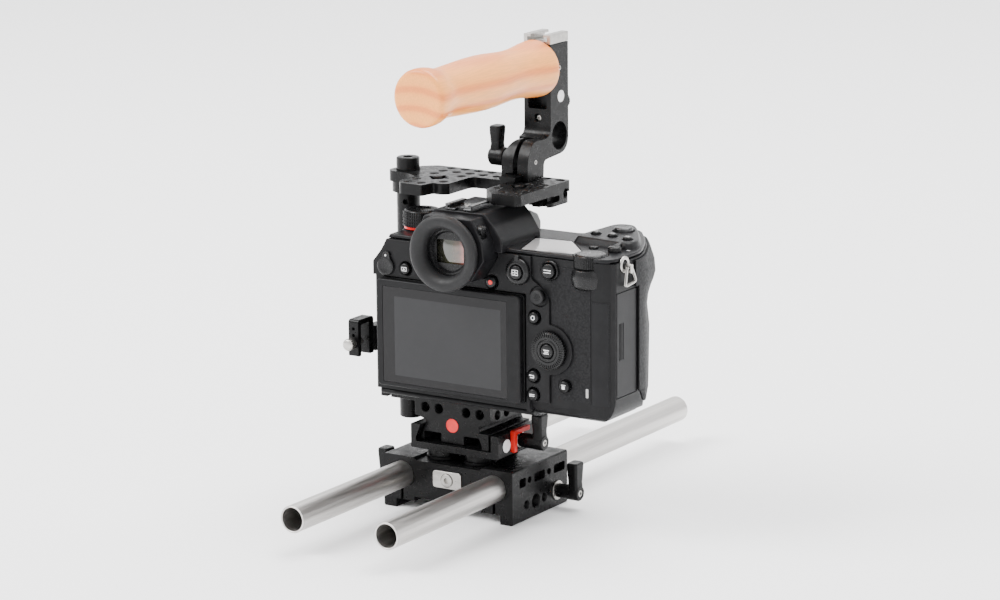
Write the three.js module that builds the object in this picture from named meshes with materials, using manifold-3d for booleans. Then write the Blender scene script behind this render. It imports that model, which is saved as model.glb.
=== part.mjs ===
// Cinema camera rig: a mirrorless camera in a half cage with a wooden top handle, carried by a
// quick-release plate on a base clamp that rides on two 15 mm support rods.
//
// Units are millimetres, +Z up. X runs across the rods, Y along them towards the lens.
// The pieces are laid out from the middle of the rods' rear ends, at rod-axis height; at the end the
// whole rig is moved so that its origin is the centre of the underside of its bounding box.

import * as THREE from "three";
import { mergeVertices } from "three/addons/utils/BufferGeometryUtils.js";
import Module from "manifold-3d";

const wasm = await Module();
wasm.setup();

// ---- driving dimensions -------------------------------------------------------------------

const GAP = 0.3; // clearance between neighbouring pieces
const ROD = { radius: 7.5, wall: 1.2, half: 30, length: 304.8 };
const BASE = { half: 42, rear: 104, front: 161, top: 9, shoulder: 10.5, bottom: -19.5 };
const TRAY = { left: -24.5, right: 32.5, rear: 105, front: 149, bottom: 16, top: 30.2 };
const PLATE = { half: 24.5, rear: 109.4, front: 153, bottom: 20, top: 46 };
const POST = { x: -48, y: 141, radius: 6.5, bottom: 22.6, top: 170.4 };
const CAGE = { top: 163.3, arm: 6, bar: 12, left: -30, right: 46.2, rear: 105.5, front: 159 };
const HANDLE = { left: 13, right: 30, rear: 165, front: 183.5, foot: 163.6, top: 235, x: 20.5 };
const GRIP = { rear: 49, radius: 15.7, z: 221.8 };
const CAMERA = { left: -40.5, right: 110.5, bottom: 46.4, rear: 93.5, front: 150, top: 137, axis: 18 };
const SHELL = { bottom: 49.7, top: 134.5, split: 98.2, wall: 3 };
const LENS_Z = 92;
const EVF = { rear: 80, z: 134.7, cup: 21, top: 153.5 };
const MONITOR = { left: -36.2, right: 56.5, bottom: 53, top: 113.2, back: 96.4, front: 90 };
const DOOR_FACE = 107.7; // inner face of the card door
const DOOR = { rear: 99.5, front: 120, bottom: 62, top: 118.5 };
const BATTERY_DOOR = { left: 74, right: 102, rear: 110, front: 150 };

// Turning points and centres of the moving pieces, [x, y, z].
const ROD_LEVER = { leftY: 124, rightY: 150, z: -10 };
const QR_LEVER = { y: 127, z: 23 };
const HANDLE_LEVER = { y: 149, z: 174.5 };
const CABLE_SCREW = { x: -56.2, z: 72.4 };
const CONTROL_DIAL = { x: 72.9, z: 85.1, radius: 10.5 };
const REAR_DIAL = { x: 92.8, y: 102.5, radius: 9.2 };
const DRIVE_DIAL = { x: -21, y: 114, radius: 10.5 };
const MODE_LEVER = { x: 53.6, z: 125.6, radius: 7 };
const STRAP_PIN = { x: 112.4, y: 109, z: 131 };

// Rear buttons: name, centre X, centre Z, radius.
const REAR_BUTTONS = [
  ["record_button", 36.6, 118, 3.1],
  ["af_on_button", 72.6, 128, 3.9],
  ["quick_menu_button", 63.1, 101.7, 3.1],
  ["back_button", 62.5, 69.7, 3.1],
  ["display_button", 62.3, 59.5, 3.1],
  ["delete_button", 81.8, 66.4, 3.1],
  ["playback_button", -18.7, 119.1, 3.1],
];
// Threaded holes of the cage plate, as columns and rows of its grid; the two large ones are 3/8 inch.
const CAGE_GRID = { x: -28.6, y: 111.6, pitch: 8.8 };
const CAGE_HOLES = [
  [0, 0], [1, 0], [0, 1], [2, 1], [1, 2, 4.5], [0, 3], [2, 3], [0, 4], [1, 4], [2, 4], [3, 4], [4, 4],
  [0, 5], [1, 5], [2, 5], [3, 5], [4, 5],
  [7, 0], [8, 0], [6, 1], [8, 1], [7, 2, 4.5], [7, 3], [8, 3], [7, 5], [8, 5],
];
// Buttons on the raised deck over the grip: name, centre X, centre Y.
const DECK_BUTTONS = [
  ["white_balance_button", 75.2, 137.3],
  ["iso_button", 86.1, 136.2],
  ["exposure_button", 97.2, 133.2],
];

// ---- finishes ---------------------------------------------------------------------------------

const FINISH = {
  anodised: { color: 0x242425, roughness: 0.45, metalness: 0.75 },
  steel: { color: 0xb4b1ac, roughness: 0.35, metalness: 0.95 },
  silver: { color: 0xc9c6c0, roughness: 0.3, metalness: 0.9 },
  catch: { color: 0xb8332b, roughness: 0.4, metalness: 0.6 },
  maple: { color: 0xe6b27a, roughness: 0.5, metalness: 0 },
  plastic: { color: 0x2c2c2e, roughness: 0.55, metalness: 0 },
  rubber: { color: 0x1e1e20, roughness: 0.8, metalness: 0 },
  glass: { color: 0x33363b, roughness: 0.08, metalness: 0 },
  board: { color: 0x1d5a38, roughness: 0.6, metalness: 0.1 },
};

// ---- geometry helpers ---------------------------------------------------------------------------

function toSolid(geometry) {
  const bare = geometry.clone();
  bare.deleteAttribute("normal");
  bare.deleteAttribute("uv");
  const merged = mergeVertices(bare, 1e-4);
  const vertProperties = new Float32Array(merged.attributes.position.array);
  const triVerts = new Uint32Array(merged.index.array);
  return new wasm.Manifold(new wasm.Mesh({ numProp: 3, vertProperties, triVerts }));
}

function toGeometry(solid) {
  const mesh = solid.getMesh();
  const geometry = new THREE.BufferGeometry();
  geometry.setAttribute("position", new THREE.BufferAttribute(new Float32Array(mesh.vertProperties), 3));
  geometry.setIndex(new THREE.BufferAttribute(new Uint32Array(mesh.triVerts), 1));
  const flat = geometry.toNonIndexed();
  flat.computeVertexNormals();
  return flat;
}

function join(...geometries) {
  return toGeometry(geometries.map(toSolid).reduce((whole, piece) => whole.add(piece)));
}

function cut(geometry, ...tools) {
  return toGeometry(tools.map(toSolid).reduce((whole, tool) => whole.subtract(tool), toSolid(geometry)));
}

// A box between two corners.
function block(x0, x1, y0, y1, z0, z1) {
  const geometry = new THREE.BoxGeometry(x1 - x0, y1 - y0, z1 - z0);
  return geometry.translate((x0 + x1) / 2, (y0 + y1) / 2, (z0 + z1) / 2);
}

// Turns a shape's own x, y and extrusion direction onto the rig's axes.
const ALONG = {
  X: new THREE.Matrix4().makeBasis(unit(0, 1, 0), unit(0, 0, 1), unit(1, 0, 0)),
  Y: new THREE.Matrix4().makeBasis(unit(1, 0, 0), unit(0, 0, 1), unit(0, -1, 0)),
  Z: new THREE.Matrix4(),
};

function unit(x, y, z) {
  return new THREE.Vector3(x, y, z);
}

// A shape drawn in the plane across an axis ("X": y,z; "Y": x,z; "Z": x,y), extruded along it.
function slab(axis, shape, from, to, curveSegments = 4) {
  const depth = to - from;
  const geometry = new THREE.ExtrudeGeometry(shape, { depth, bevelEnabled: false, curveSegments });
  geometry.applyMatrix4(ALONG[axis]);
  const start = axis === "Y" ? to : from;
  const offset = { X: [start, 0, 0], Y: [0, start, 0], Z: [0, 0, start] }[axis];
  return geometry.translate(...offset);
}

// A closed outline of [u, v] or [u, v, corner radius] points.
function outline(points) {
  const shape = new THREE.Shape();
  points.forEach(([u, v, radius = 0], i) => {
    const [before, after] = [points.at(i - 1), points[(i + 1) % points.length]].map(([a, b]) => {
      const side = new THREE.Vector2(a - u, b - v);
      return side.setLength(Math.min(radius, side.length() * 0.45)).add(new THREE.Vector2(u, v));
    });
    if (i === 0) shape.moveTo(before.x, before.y);
    else shape.lineTo(before.x, before.y);
    if (radius) shape.quadraticCurveTo(u, v, after.x, after.y);
  });
  return shape;
}

function roundedRect(u0, u1, v0, v1, radius) {
  return outline([[u0, v0, radius], [u1, v0, radius], [u1, v1, radius], [u0, v1, radius]]);
}

// A round bar along an axis; u, v are its centre in the plane across that axis.
function bar(axis, radius, u, v, from, to, sides = 16) {
  const geometry = new THREE.CylinderGeometry(radius, radius, to - from, sides);
  const middle = (from + to) / 2;
  if (axis === "X") return geometry.rotateZ(-Math.PI / 2).translate(middle, u, v);
  if (axis === "Y") return geometry.translate(u, middle, v);
  return geometry.rotateX(Math.PI / 2).translate(u, v, middle);
}

// A turned piece: [radius, height] points of its half section, closed on the axis or on itself.
function turned(axis, profile, u, v, sides = 20) {
  const geometry = new THREE.LatheGeometry(profile.map(([r, h]) => new THREE.Vector2(r, h)), sides);
  if (axis === "X") return geometry.rotateZ(-Math.PI / 2).translate(0, u, v);
  if (axis === "Y") return geometry.translate(u, 0, v);
  return geometry.rotateX(Math.PI / 2).translate(u, v, 0);
}

// A ring along an axis, from its half section's four corners.
function ring(axis, inner, outer, u, v, from, to, sides = 20) {
  return cut(bar(axis, outer, u, v, from, to, sides), bar(axis, inner, u, v, from - 1, to + 1, sides));
}

const rig = new THREE.Group();

function add(name, finish, geometry) {
  const mesh = new THREE.Mesh(geometry, new THREE.MeshStandardMaterial(FINISH[finish]));
  mesh.name = name;
  rig.add(mesh);
}

// ---- support rods and their base clamp ------------------------------------------------------

function rodTube(x) {
  const inner = ROD.radius - ROD.wall;
  return ring("Y", inner, ROD.radius, x, 0, 0, ROD.length, 24);
}

function baseBlock() {
  const { half, bottom, top, shoulder, rear, front } = BASE;
  const channel = bottom + 5;
  const right = [[34, bottom], [half, bottom, 1.5], [half, shoulder, 1], [22.4, shoulder], [21, top]];
  const under = [[-22, channel], [-22, channel + 2.5], [22, channel + 2.5], [22, channel], [34, channel]];
  const left = right.map(([x, z, r]) => [-x, z, r]).reverse();
  const body = slab("Y", outline([...right, ...left, [-34, channel], ...under]), rear, front, 3);
  const tools = [];
  for (const side of [-1, 1]) {
    tools.push(bar("Y", ROD.radius + GAP, side * ROD.half, 0, rear - 1, front + 1, 24));
    const slot = side * ROD.half;
    tools.push(block(slot - 0.8, slot + 0.8, rear - 1, front + 1, channel - 1, -6));
    const wall = side > 0 ? [36, half + 1] : [-half - 1, -36];
    const leverY = side > 0 ? ROD_LEVER.rightY : ROD_LEVER.leftY;
    tools.push(bar("X", 3, leverY, ROD_LEVER.z, ...wall, 12));
  }
  const pockets = [[111.2, 117.8], [126.7, 137.6], [146.8, 158.3]];
  for (const [from, to] of pockets) tools.push(block(half - 3, half + 1, from, to, 0, 5));
  const tapped = [[118.6, 2.6], [128.3, 4.2], [137, 2.6]];
  for (const [y, radius] of tapped) tools.push(bar("X", radius, y, -10.9, 36, half + 1, 10));
  tools.push(slab("Y", roundedRect(-9.5, 9.5, -4.5, 5.7, 2), rear - 1, rear + 1.3, 2));
  return cut(body, ...tools);
}

function lockPlate() {
  const plate = slab("Y", roundedRect(-9.2, 9.2, -4.2, 5.4, 2), BASE.rear - 0.8, BASE.rear + 1, 2);
  const screw = bar("Y", 3.75, 0, 0.5, BASE.rear - 2, BASE.rear - 0.5, 16);
  return cut(join(plate, screw), bar("Y", 1.8, 0, 0.5, BASE.rear - 3, BASE.rear - 0.9, 6));
}

// A ratchet lever whose hub turns on an X axis; reach is the tab's length above the axis.
function clampLever({ y, z }, wall, side, hubLength, reach, stud) {
  const near = wall + side * GAP;
  const far = near + side * hubLength;
  const span = (a, b) => [Math.min(a, b), Math.max(a, b)];
  const hub = bar("X", 4.2, y, z, ...span(near, far), 16);
  const tab = [[y - 3.6, z - 1], [y + 3.6, z - 1], [y + 4.2, z + reach, 2], [y - 4.2, z + reach, 2]];
  const grip = slab("X", outline(tab), ...span(far - side * 6.5, far), 3);
  const core = bar("X", 2.5, y, z, ...span(wall - side * stud, near + side), 10);
  return join(hub, grip, core);
}

function riser() {
  const floor = BASE.top + GAP;
  const columns = [];
  for (const x of [-12, 12]) {
    for (const y of [118.6, 141]) columns.push(bar("Z", 8.5, x, y, floor, TRAY.bottom - GAP, 16));
  }
  const web = block(-14, 14, 116, 144, floor, floor + 1.5);
  return join(web, ...columns);
}

add("base_block", "anodised", baseBlock());
add("base_lock_plate", "silver", lockPlate());
add("rod_left", "steel", rodTube(-ROD.half));
add("rod_right", "steel", rodTube(ROD.half));
const leftPivot = { y: ROD_LEVER.leftY, z: ROD_LEVER.z };
const rightPivot = { y: ROD_LEVER.rightY, z: ROD_LEVER.z };
add("rod_lever_left", "anodised", clampLever(leftPivot, -BASE.half, -1, 15, 17.5, 5));
add("rod_lever_right", "anodised", clampLever(rightPivot, BASE.half, 1, 15, 17.5, 5));
add("riser", "anodised", riser());

// ---- quick release ---------------------------------------------------------------------------

const JAW = { outer: 25.6, wall: 27.6 };

function clampTray() {
  const { left, right, rear, front, bottom, top } = TRAY;
  const floor = bottom + 3.7;
  const section = [
    [left, bottom, 1], [right, bottom, 1], [right, top - 1], [JAW.wall, top - 1],
    [JAW.wall, floor], [-21.2, floor], [-21.2, 22], [-18, top - 0.6], [left, top, 1],
  ];
  const body = slab("Y", outline(section), rear, front, 3);
  return cut(
    body,
    bar("X", 3.1, QR_LEVER.y, QR_LEVER.z, JAW.wall - 1, right + 1, 12),
    slab("X", roundedRect(117.5, 136.5, 17.8, 22.4, 1), right - 1.2, right + 1, 1),
  );
}

function clampJaw() {
  const floor = TRAY.bottom + 4;
  const section = [
    [21.2, floor], [JAW.outer, floor], [JAW.outer, TRAY.top - 1], [18, TRAY.top - 1], [21.2, 22],
  ];
  const body = slab("Y", outline(section), TRAY.rear + 1, TRAY.front - 1);
  return cut(body, bar("X", 3.1, QR_LEVER.y, QR_LEVER.z, 17, JAW.outer + 1, 12));
}

function safetyCatch() {
  const x = TRAY.right + GAP;
  const section = [[116.8, 17.8], [119.4, 17.8], [119.4, 27.6], [133, 27.6], [133, 30.2], [116.8, 30.2, 1]];
  return slab("X", outline(section), x, x + 2.6, 3);
}

function quickPlate() {
  const { half, rear, front, bottom, top } = PLATE;
  const right = [[18.6, bottom], [20.8, bottom], [20.8, 22.2], [17.4, 30], [17.4, 31.6], [half, 33.6]];
  const slot = [[7.4, bottom], [7.4, 25], [18.6, 25]];
  const left = [...slot, ...right].map(([x, z]) => [-x, z]).reverse();
  const section = [...slot, ...right, [half, top, 0.8], [-half, top, 0.8], ...left];
  const tools = [slab("Z", roundedRect(-3.4, 3.4, 120, 142, 3.3), bottom - 1, top + 1, 3)];
  tools.push(block(-7, 7, 116, 146, bottom - 1, 33));
  for (const x of [-17.6, -8.8, 8.8, 17.6]) tools.push(bar("Y", 2.7, x, 39, rear - 1, rear + 8, 12));
  for (const y of [117.2, 126.5, 135.9, 144.3]) {
    tools.push(bar("X", 2.3, y, 38, half - 5, half + 1, 10));
  }
  return cut(slab("Y", outline(section), rear, front, 2), ...tools);
}

// Camera screw: a wide slotted head in the plate's well, threaded up into the camera.
function cameraScrew() {
  const head = bar("Z", 6.4, 0, 131, 27.5, 32.6, 16);
  const shank = bar("Z", 2.9, 0, 131, 32, CAMERA.bottom - GAP, 12);
  return cut(join(head, shank), block(-0.8, 0.8, 120, 142, 26, 29));
}

add("clamp_tray", "anodised", clampTray());
add("clamp_jaw", "anodised", clampJaw());
add("quick_release_lever", "anodised", clampLever(QR_LEVER, TRAY.right, 1, 16, 16, 4.6));
add("safety_catch", "catch", safetyCatch());
add("quick_plate", "anodised", quickPlate());
add("camera_screw", "steel", cameraScrew());

// ---- cage ------------------------------------------------------------------------------------

const BASE_BAR = { bottom: 37.9, top: 43.9, rear: 120, front: 151 };

function cageBaseBar() {
  const { bottom, top, rear, front } = BASE_BAR;
  const foot = [
    [-PLATE.half - GAP, rear, 1], [-PLATE.half - GAP, front - 6, 1], [-40, front, 4],
    [-56, front, 5], [-58, 136, 4], [-54.6, rear, 1.5],
  ];
  return cut(
    slab("Z", outline(foot.reverse()), bottom, top, 3),
    bar("Z", POST.radius + GAP, POST.x, POST.y, bottom - 1, top + 1, 24),
    block(-50.2, -47.4, rear - 1, POST.y, bottom - 1, top + 1),
  );
}

function cagePost() {
  const tube = bar("Z", POST.radius, POST.x, POST.y, POST.bottom, POST.top, 24);
  return cut(tube, bar("Z", 2.6, POST.x, POST.y, POST.top - 14, POST.top + 1, 12));
}

function cageTopPlate() {
  const { top, arm, bar: thick, left, right, rear, front } = CAGE;
  const inner = { left: -5.2, right: 20, back: 139.5 };
  const foot = [
    [left, rear, 2.5], [left + 14.5, rear, 1], [left + 16, rear + 9, 2], [inner.left - 4, rear + 8, 2],
    [inner.left, rear + 11, 1], [inner.left, inner.back, 4],
    [inner.right, inner.back, 4], [inner.right, rear + 9, 1.5], [inner.right + 9.5, rear, 1.5], [right - 2, rear, 1],
    [right, rear + 2, 1], [right, front, 2], [-40, front, 2], [POST.x - 9, POST.y + 3, 6],
    [POST.x - 9, POST.y - 8, 6], [POST.x + 6, POST.y - 10, 2], [-33, 126, 3], [-34, 112, 3],
  ];
  const sheet = slab("Z", outline(foot), top - arm, top, 3);
  const collar = bar("Z", 8.8, POST.x, POST.y, top - thick, top, 24);
  const boss = slab("Z", roundedRect(31, right, 137, front, 5), top - thick, top - arm + 0.5, 3);
  const dovetail = outline([[17.6, top - 0.4], [25.6, top - 0.4], [27, top + 3.4], [16.2, top + 3.4]]);
  const rail = slab("Y", dovetail, 133, 158);
  const tools = [bar("Z", POST.radius + GAP, POST.x, POST.y, top - 20, top + 5, 24)];
  tools.push(block(POST.x - 1, POST.x + 1, POST.y, front + 1, top - 20, top + 5));
  for (const [column, row, radius = 2.4] of CAGE_HOLES) {
    const [x, y] = [CAGE_GRID.x + column * CAGE_GRID.pitch, CAGE_GRID.y + row * CAGE_GRID.pitch];
    tools.push(bar("Z", radius, x, y, top - 20, top + 5, radius > 3 ? 16 : 10));
  }
  tools.push(bar("X", 2.6, 154.5, top - 6.5, right - 8, right + 1, 12));
  tools.push(slab("X", roundedRect(134, 147.5, top - 9.8, top - 6.4, 1.6), right - 3, right + 1, 2));
  return cut(join(sheet, collar, boss, rail), ...tools);
}

add("cage_base_bar", "anodised", cageBaseBar());
add("cage_post", "anodised", cagePost());
add("cage_top_plate", "anodised", cageTopPlate());

// ---- top handle --------------------------------------------------------------------------------

function handlePost() {
  const { left, right, rear, front, foot, top } = HANDLE;
  const column = [
    [rear, 188, 6], [rear, top], [front, top], [front, 174.5, 9], [158, 172.6, 3], [157.5, foot],
    [141, foot], [141, 176, 5], [147, 185, 6], [160, 184.5, 3],
  ];
  const body = slab("X", outline(column.reverse()), left, right, 4);
  return cut(
    body,
    bar("X", ROD.radius + GAP, 174, 184, left - 1, right + 1, 24),
    block(17, 26.2, 139, 159.5, foot - 1, CAGE.top + 3.8),
    block(left - 1, 23.3, 139, 159.5, foot - 1, 190),
    block(16, 27, rear - 1, rear + 6, 199, 206),
    bar("Y", 3.3, HANDLE.x, GRIP.z, rear - 1, front - 4, 12),
    bar("Y", 2.4, HANDLE.x, 200, front - 6, front + 1, 10),
    slab("Y", outline([[23, foot - 1], [25.9, foot - 1], [27.4, CAGE.top + 3.8], [23, CAGE.top + 3.8]]), 139, 159),
  );
}

function handleJaw() {
  const { foot } = HANDLE;
  const hook = [
    [13.2, foot], [17, foot], [15.65, CAGE.top + 3.9], [20.4, CAGE.top + 4.1], [20.4, 184, 2], [17, 184, 3], [13.2, 178.5, 1],
  ];
  const body = slab("Y", outline(hook), 141, 157.3);
  return cut(body, bar("X", 2.3, HANDLE_LEVER.y, HANDLE_LEVER.z, 12, 22, 10));
}

function handleLever() {
  const { y, z } = HANDLE_LEVER;
  const hub = bar("X", 5.3, y, z, 1.8, 11.4, 16);
  const right = [[y + 4, z], [y + 3.2, z + 10], [y + 4, z + 17, 2.5]];
  const wing = [...right, [y - 4, z + 17, 2.5], [y - 3.2, z + 10], [y - 4, z]];
  const tab = slab("X", outline(wing), 2.3, 8.3, 3);
  const stud = bar("X", 1.9, y, z, 11, 20, 10);
  return join(hub, tab, stud);
}

// Turned grip: full at both ends, waisted just inside them and gently bulged between.
function woodGrip() {
  const front = HANDLE.rear - GAP;
  const length = front - GRIP.rear;
  const stations = [[0, 0.9], [0.02, 0.98], [0.06, 1], [0.12, 0.93], [0.18, 0.855], [0.32, 0.9]];
  stations.push([0.5, 0.95], [0.65, 0.9], [0.75, 0.86], [0.86, 0.9], [0.95, 0.99], [1, 1]);
  const skin = stations.map(([t, k]) => [GRIP.radius * k, GRIP.rear + length * t]);
  return cut(
    turned("Y", [[0, GRIP.rear], ...skin, [0, front]], HANDLE.x, GRIP.z, 24),
    bar("Y", 3.6, HANDLE.x, GRIP.z, GRIP.rear + 9, front + 1, 14),
  );
}

function gripBolt() {
  return bar("Y", 3, HANDLE.x, GRIP.z, GRIP.rear + 12, HANDLE.front - 6, 12);
}

function accessoryShoe() {
  const { left, right, rear, front, top } = HANDLE;
  const base = top + GAP;
  const section = [
    [left, base], [right, base], [right, base + 5.2], [right - 4.6, base + 5.2], [right - 4.6, base + 3.6],
    [right - 2.2, base + 3.6], [right - 2.2, base + 1.6], [left + 2.2, base + 1.6], [left + 2.2, base + 3.6],
    [left + 4.6, base + 3.6], [left + 4.6, base + 5.2], [left, base + 5.2],
  ];
  return slab("Y", outline(section), rear, front);
}

function handleKnob() {
  const face = HANDLE.front + GAP;
  const profile = [[0, face], [4.6, face], [4.6, face + 5], [4, face + 5.8], [0, face + 5.8]];
  return join(turned("Y", profile, HANDLE.x, 200, 18), bar("Y", 2, HANDLE.x, 200, face - 5, face + 1, 10));
}

add("handle_post", "anodised", handlePost());
add("handle_jaw", "anodised", handleJaw());
add("handle_lever", "anodised", handleLever());
add("wood_grip", "maple", woodGrip());
add("grip_bolt", "steel", gripBolt());
add("accessory_shoe", "silver", accessoryShoe());
add("handle_knob", "anodised", handleKnob());

// ---- cable clamp -------------------------------------------------------------------------------

function cableBracket() {
  const side = [
    [97, 65], [99.8, 65], [99.8, 82.7], [107.5, 82.7], [107.5, 64.7], [112, 64.7], [112, 85.5], [97, 85.5, 1],
  ];
  const hook = slab("X", outline(side), -59.4, -53, 2);
  const arm = block(-57, -51, 111, 136, 66, 80);
  const saddle = block(-59, -46, 134, 148, 66, 80);
  const seat = bar("Z", POST.radius + GAP, POST.x, POST.y, 60, 90, 24);
  return cut(
    join(hook, arm, saddle),
    seat,
    bar("Y", 2.2, CABLE_SCREW.x, CABLE_SCREW.z, 96, 101, 10),
    bar("Y", 0.9, -56.2, 76.6, 96, 101, 8),
    bar("Y", 0.9, -56.2, 80.4, 96, 101, 8),
  );
}

function cableScrew() {
  const { x, z } = CABLE_SCREW;
  const head = [[0, 90.8], [2.9, 90.8], [3.3, 91.3], [3.3, 95.6], [1.9, 95.6], [1.9, 104], [0, 104]];
  return turned("Y", head, x, z, 16);
}

add("cable_bracket", "anodised", cableBracket());
add("cable_screw", "silver", cableScrew());

// ---- camera body -------------------------------------------------------------------------------

// Plan outline of the body in front of the shell split, with the grip on the right.
function bodyPlan(inset = 0) {
  const { left, right, front } = CAMERA;
  return outline([
    [left + inset, SHELL.split + GAP], [right - inset, SHELL.split + GAP], [right - inset, 128, 8],
    [98 - inset, 152, 8], [82, 176 - inset, 9], [66, 172 - inset, 5], [61, front - inset, 5],
    [left + inset, front - inset, 8],
  ]);
}

function frontShell() {
  const { axis, left, right, front } = CAMERA;
  const { bottom, top, split, wall } = SHELL;
  const bay = BATTERY_DOOR;
  const lug = block(right - 1, 114.2, STRAP_PIN.y - 1.2, STRAP_PIN.y + 1.2, 128.4, 133.2);
  const body = join(slab("Z", bodyPlan(), bottom, top, 3), lug);
  return cut(
    body,
    block(left + wall, 68, split - 1, front - wall, bottom + wall, top - wall),
    bar("Y", 24.5, axis, LENS_Z, front - wall - 1, front + 1, 28),
    block(bay.left + 0.6, bay.right - 1.4, bay.rear + 2.4, bay.front - 1.4, bottom - 1, 116),
    block(DOOR_FACE - GAP, right + 1, DOOR.rear - GAP, DOOR.front + GAP, DOOR.bottom - GAP, DOOR.top + GAP),
    bar("Z", REAR_DIAL.radius + 0.4, REAR_DIAL.x, REAR_DIAL.y, 130.6, top + 1, 20),
    bar("Y", 1.5, STRAP_PIN.x, STRAP_PIN.z, STRAP_PIN.y - 3, STRAP_PIN.y + 3, 10),
  );
}

function rearShell() {
  const { left, right, rear, axis } = CAMERA;
  const { bottom, top, split } = SHELL;
  const plan = [
    [left, rear + 2, 2], [left + 2, rear, 1], [right - 6.5, rear, 3], [right, rear + 4.3, 2],
    [right, split], [left, split],
  ];
  const body = slab("Z", outline(plan), bottom, top, 3);
  const tools = [block(left - 1, MONITOR.right + 1.6, rear - 1, 97, bottom - 1, MONITOR.top + 0.8)];
  tools.push(slab("Y", evfOutline(0.4), rear - 1, split + 1));
  tools.push(block(axis - 17, axis + 17, rear - 1, split + 1, 130, top + 1));
  for (const [, x, z, radius] of REAR_BUTTONS) {
    tools.push(bar("Y", radius + 0.35, x, z, rear - 1, rear + 3.4, 16));
  }
  tools.push(bar("Y", 4.2, CONTROL_DIAL.x, CONTROL_DIAL.z, rear - 1, rear + 3.4, 14));
  tools.push(bar("Y", 3.4, 66.3, 113.5, rear - 1, rear + 3.4, 12));
  tools.push(bar("Y", 4.2, MODE_LEVER.x, MODE_LEVER.z, rear - 1, rear + 3.4, 14));
  tools.push(bar("Z", REAR_DIAL.radius + 0.4, REAR_DIAL.x, REAR_DIAL.y, 130.6, top + 1, 20));
  return cut(body, ...tools);
}

function bottomPlate() {
  const { left, right, rear, bottom } = CAMERA;
  const plan = outline([
    [left + 1, rear + 4], [right - 1, rear + 4, 3], [right - 1, 128, 8], [97, 152, 8],
    [81, 175, 9], [66, 171, 5], [61, 149, 5], [left + 1, 149, 8],
  ]);
  const bay = BATTERY_DOOR;
  return cut(
    slab("Z", plan, bottom, SHELL.bottom - GAP, 3),
    block(bay.left - GAP, bay.right + GAP, bay.rear - GAP, bay.front + GAP, bottom - 1, SHELL.bottom + 1),
    bar("Z", 3.2, 0, 131, bottom - 1, bottom + 2, 12),
  );
}

// Cross-section of the viewfinder housing, grown by an offset.
function evfOutline(grow = 0) {
  const half = [
    [14 + grow, 119.5 - grow], [22.4 + grow, 131.8], [21 + grow, 141.4], [15 + grow, EVF.top + grow],
  ];
  const right = half.map(([x, z]) => [CAMERA.axis + x, z]);
  const left = half.map(([x, z]) => [CAMERA.axis - x, z]).reverse();
  return outline([...right, ...left]);
}

function topCover() {
  const { left, right, top, axis, rear } = CAMERA;
  const base = SHELL.top + GAP;
  const plan = outline([
    [left + 5, rear + 1.5, 2], [right - 5, rear + 1.5, 4], [right - 1, 100, 3], [right - 1, 127, 8],
    [97, 151, 8], [82, 174, 9], [67, 170, 5], [61, 149, 5], [left + 6, 149, 8], [left + 1, 138, 4],
    [left + 1, rear + 6, 3],
  ]);
  const housing = slab("Y", evfOutline(), EVF.rear, SHELL.split);
  const humpShape = outline([
    [axis - 27, base], [axis + 27, base], [axis + 26.4, 141.2], [axis + 21, 149.4], [axis + 15.5, 155],
    [axis - 15.5, 155], [axis - 21, 149.4], [axis - 26.4, 141.2],
  ]);
  const hump = slab("Y", humpShape, 91, 130);
  const nose = block(axis - 16, axis + 16, 129, 154, base, 147.5);
  const deck = outline([[68, 128, 3], [103, 124, 4], [104, 134, 8], [94, 150, 8], [82, 168, 8], [71, 166, 6]]);
  return cut(
    join(slab("Z", plan, base, top, 3), housing, hump, nose, slab("Z", deck, top - 0.5, 140.4, 3)),
    bar("Y", 12.6, axis, EVF.z, EVF.rear - 1, 93, 24),
    bar("Z", REAR_DIAL.radius + 0.4, REAR_DIAL.x, REAR_DIAL.y, base - 1, top + 1, 20),
    bar("Z", 5.6, 84, 151.5, 136, 141, 16),
    ...DECK_BUTTONS.map(([, x, y]) => bar("Z", 2.9, x, y, 137.3, 141, 12)),
  );
}

function eyecup() {
  const { rear, z, cup } = EVF;
  const half = [
    [12.9, rear - GAP], [12.4, rear - 2.5], [14.6, rear - 5.8], [17.6, rear - 7], [cup - 0.8, rear - 6.6],
    [cup, rear - 5], [cup - 1.8, rear - GAP], [12.9, rear - GAP],
  ];
  return turned("Y", half, CAMERA.axis, z, 28);
}

function hotShoe() {
  const { axis } = CAMERA;
  const base = 155 + GAP;
  const section = [
    [-8.8, base], [8.8, base], [8.8, base + 3.3], [5.8, base + 3.3], [5.8, base + 2.3], [7.4, base + 2.3],
    [7.4, base + 0.9], [-7.4, base + 0.9], [-7.4, base + 2.3], [-5.8, base + 2.3], [-5.8, base + 3.3],
    [-8.8, base + 3.3],
  ].map(([x, z]) => [x + axis, z]);
  return slab("Y", outline(section), 91, 107.5);
}

add("front_shell", "plastic", frontShell());
add("rear_shell", "plastic", rearShell());
add("bottom_plate", "plastic", bottomPlate());
add("top_cover", "plastic", topCover());
add("eyecup", "rubber", eyecup());
add("eyepiece_lens", "glass", bar("Y", 12.2, CAMERA.axis, EVF.z, 83, 85.5, 24));
add("hot_shoe", "silver", hotShoe());
add("lens_mount", "steel", ring("Y", 23.8, 31, CAMERA.axis, LENS_Z, CAMERA.front + GAP, 156, 32));
add("image_sensor", "glass", block(CAMERA.axis - 19, CAMERA.axis + 19, 133, 136.5, LENS_Z - 13, LENS_Z + 13));
add("main_board", "board", block(-30, 62, 104, 106, 58, 126));
add("battery", "rubber", block(76, 99, 114, 147, 50.2, 112));
add("battery_door", "plastic", block(
  BATTERY_DOOR.left, BATTERY_DOOR.right, BATTERY_DOOR.rear, BATTERY_DOOR.front, CAMERA.bottom, SHELL.bottom - GAP,
));
add("card_door", "plastic", block(DOOR_FACE, CAMERA.right, DOOR.rear, DOOR.front, DOOR.bottom, DOOR.top));

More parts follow.
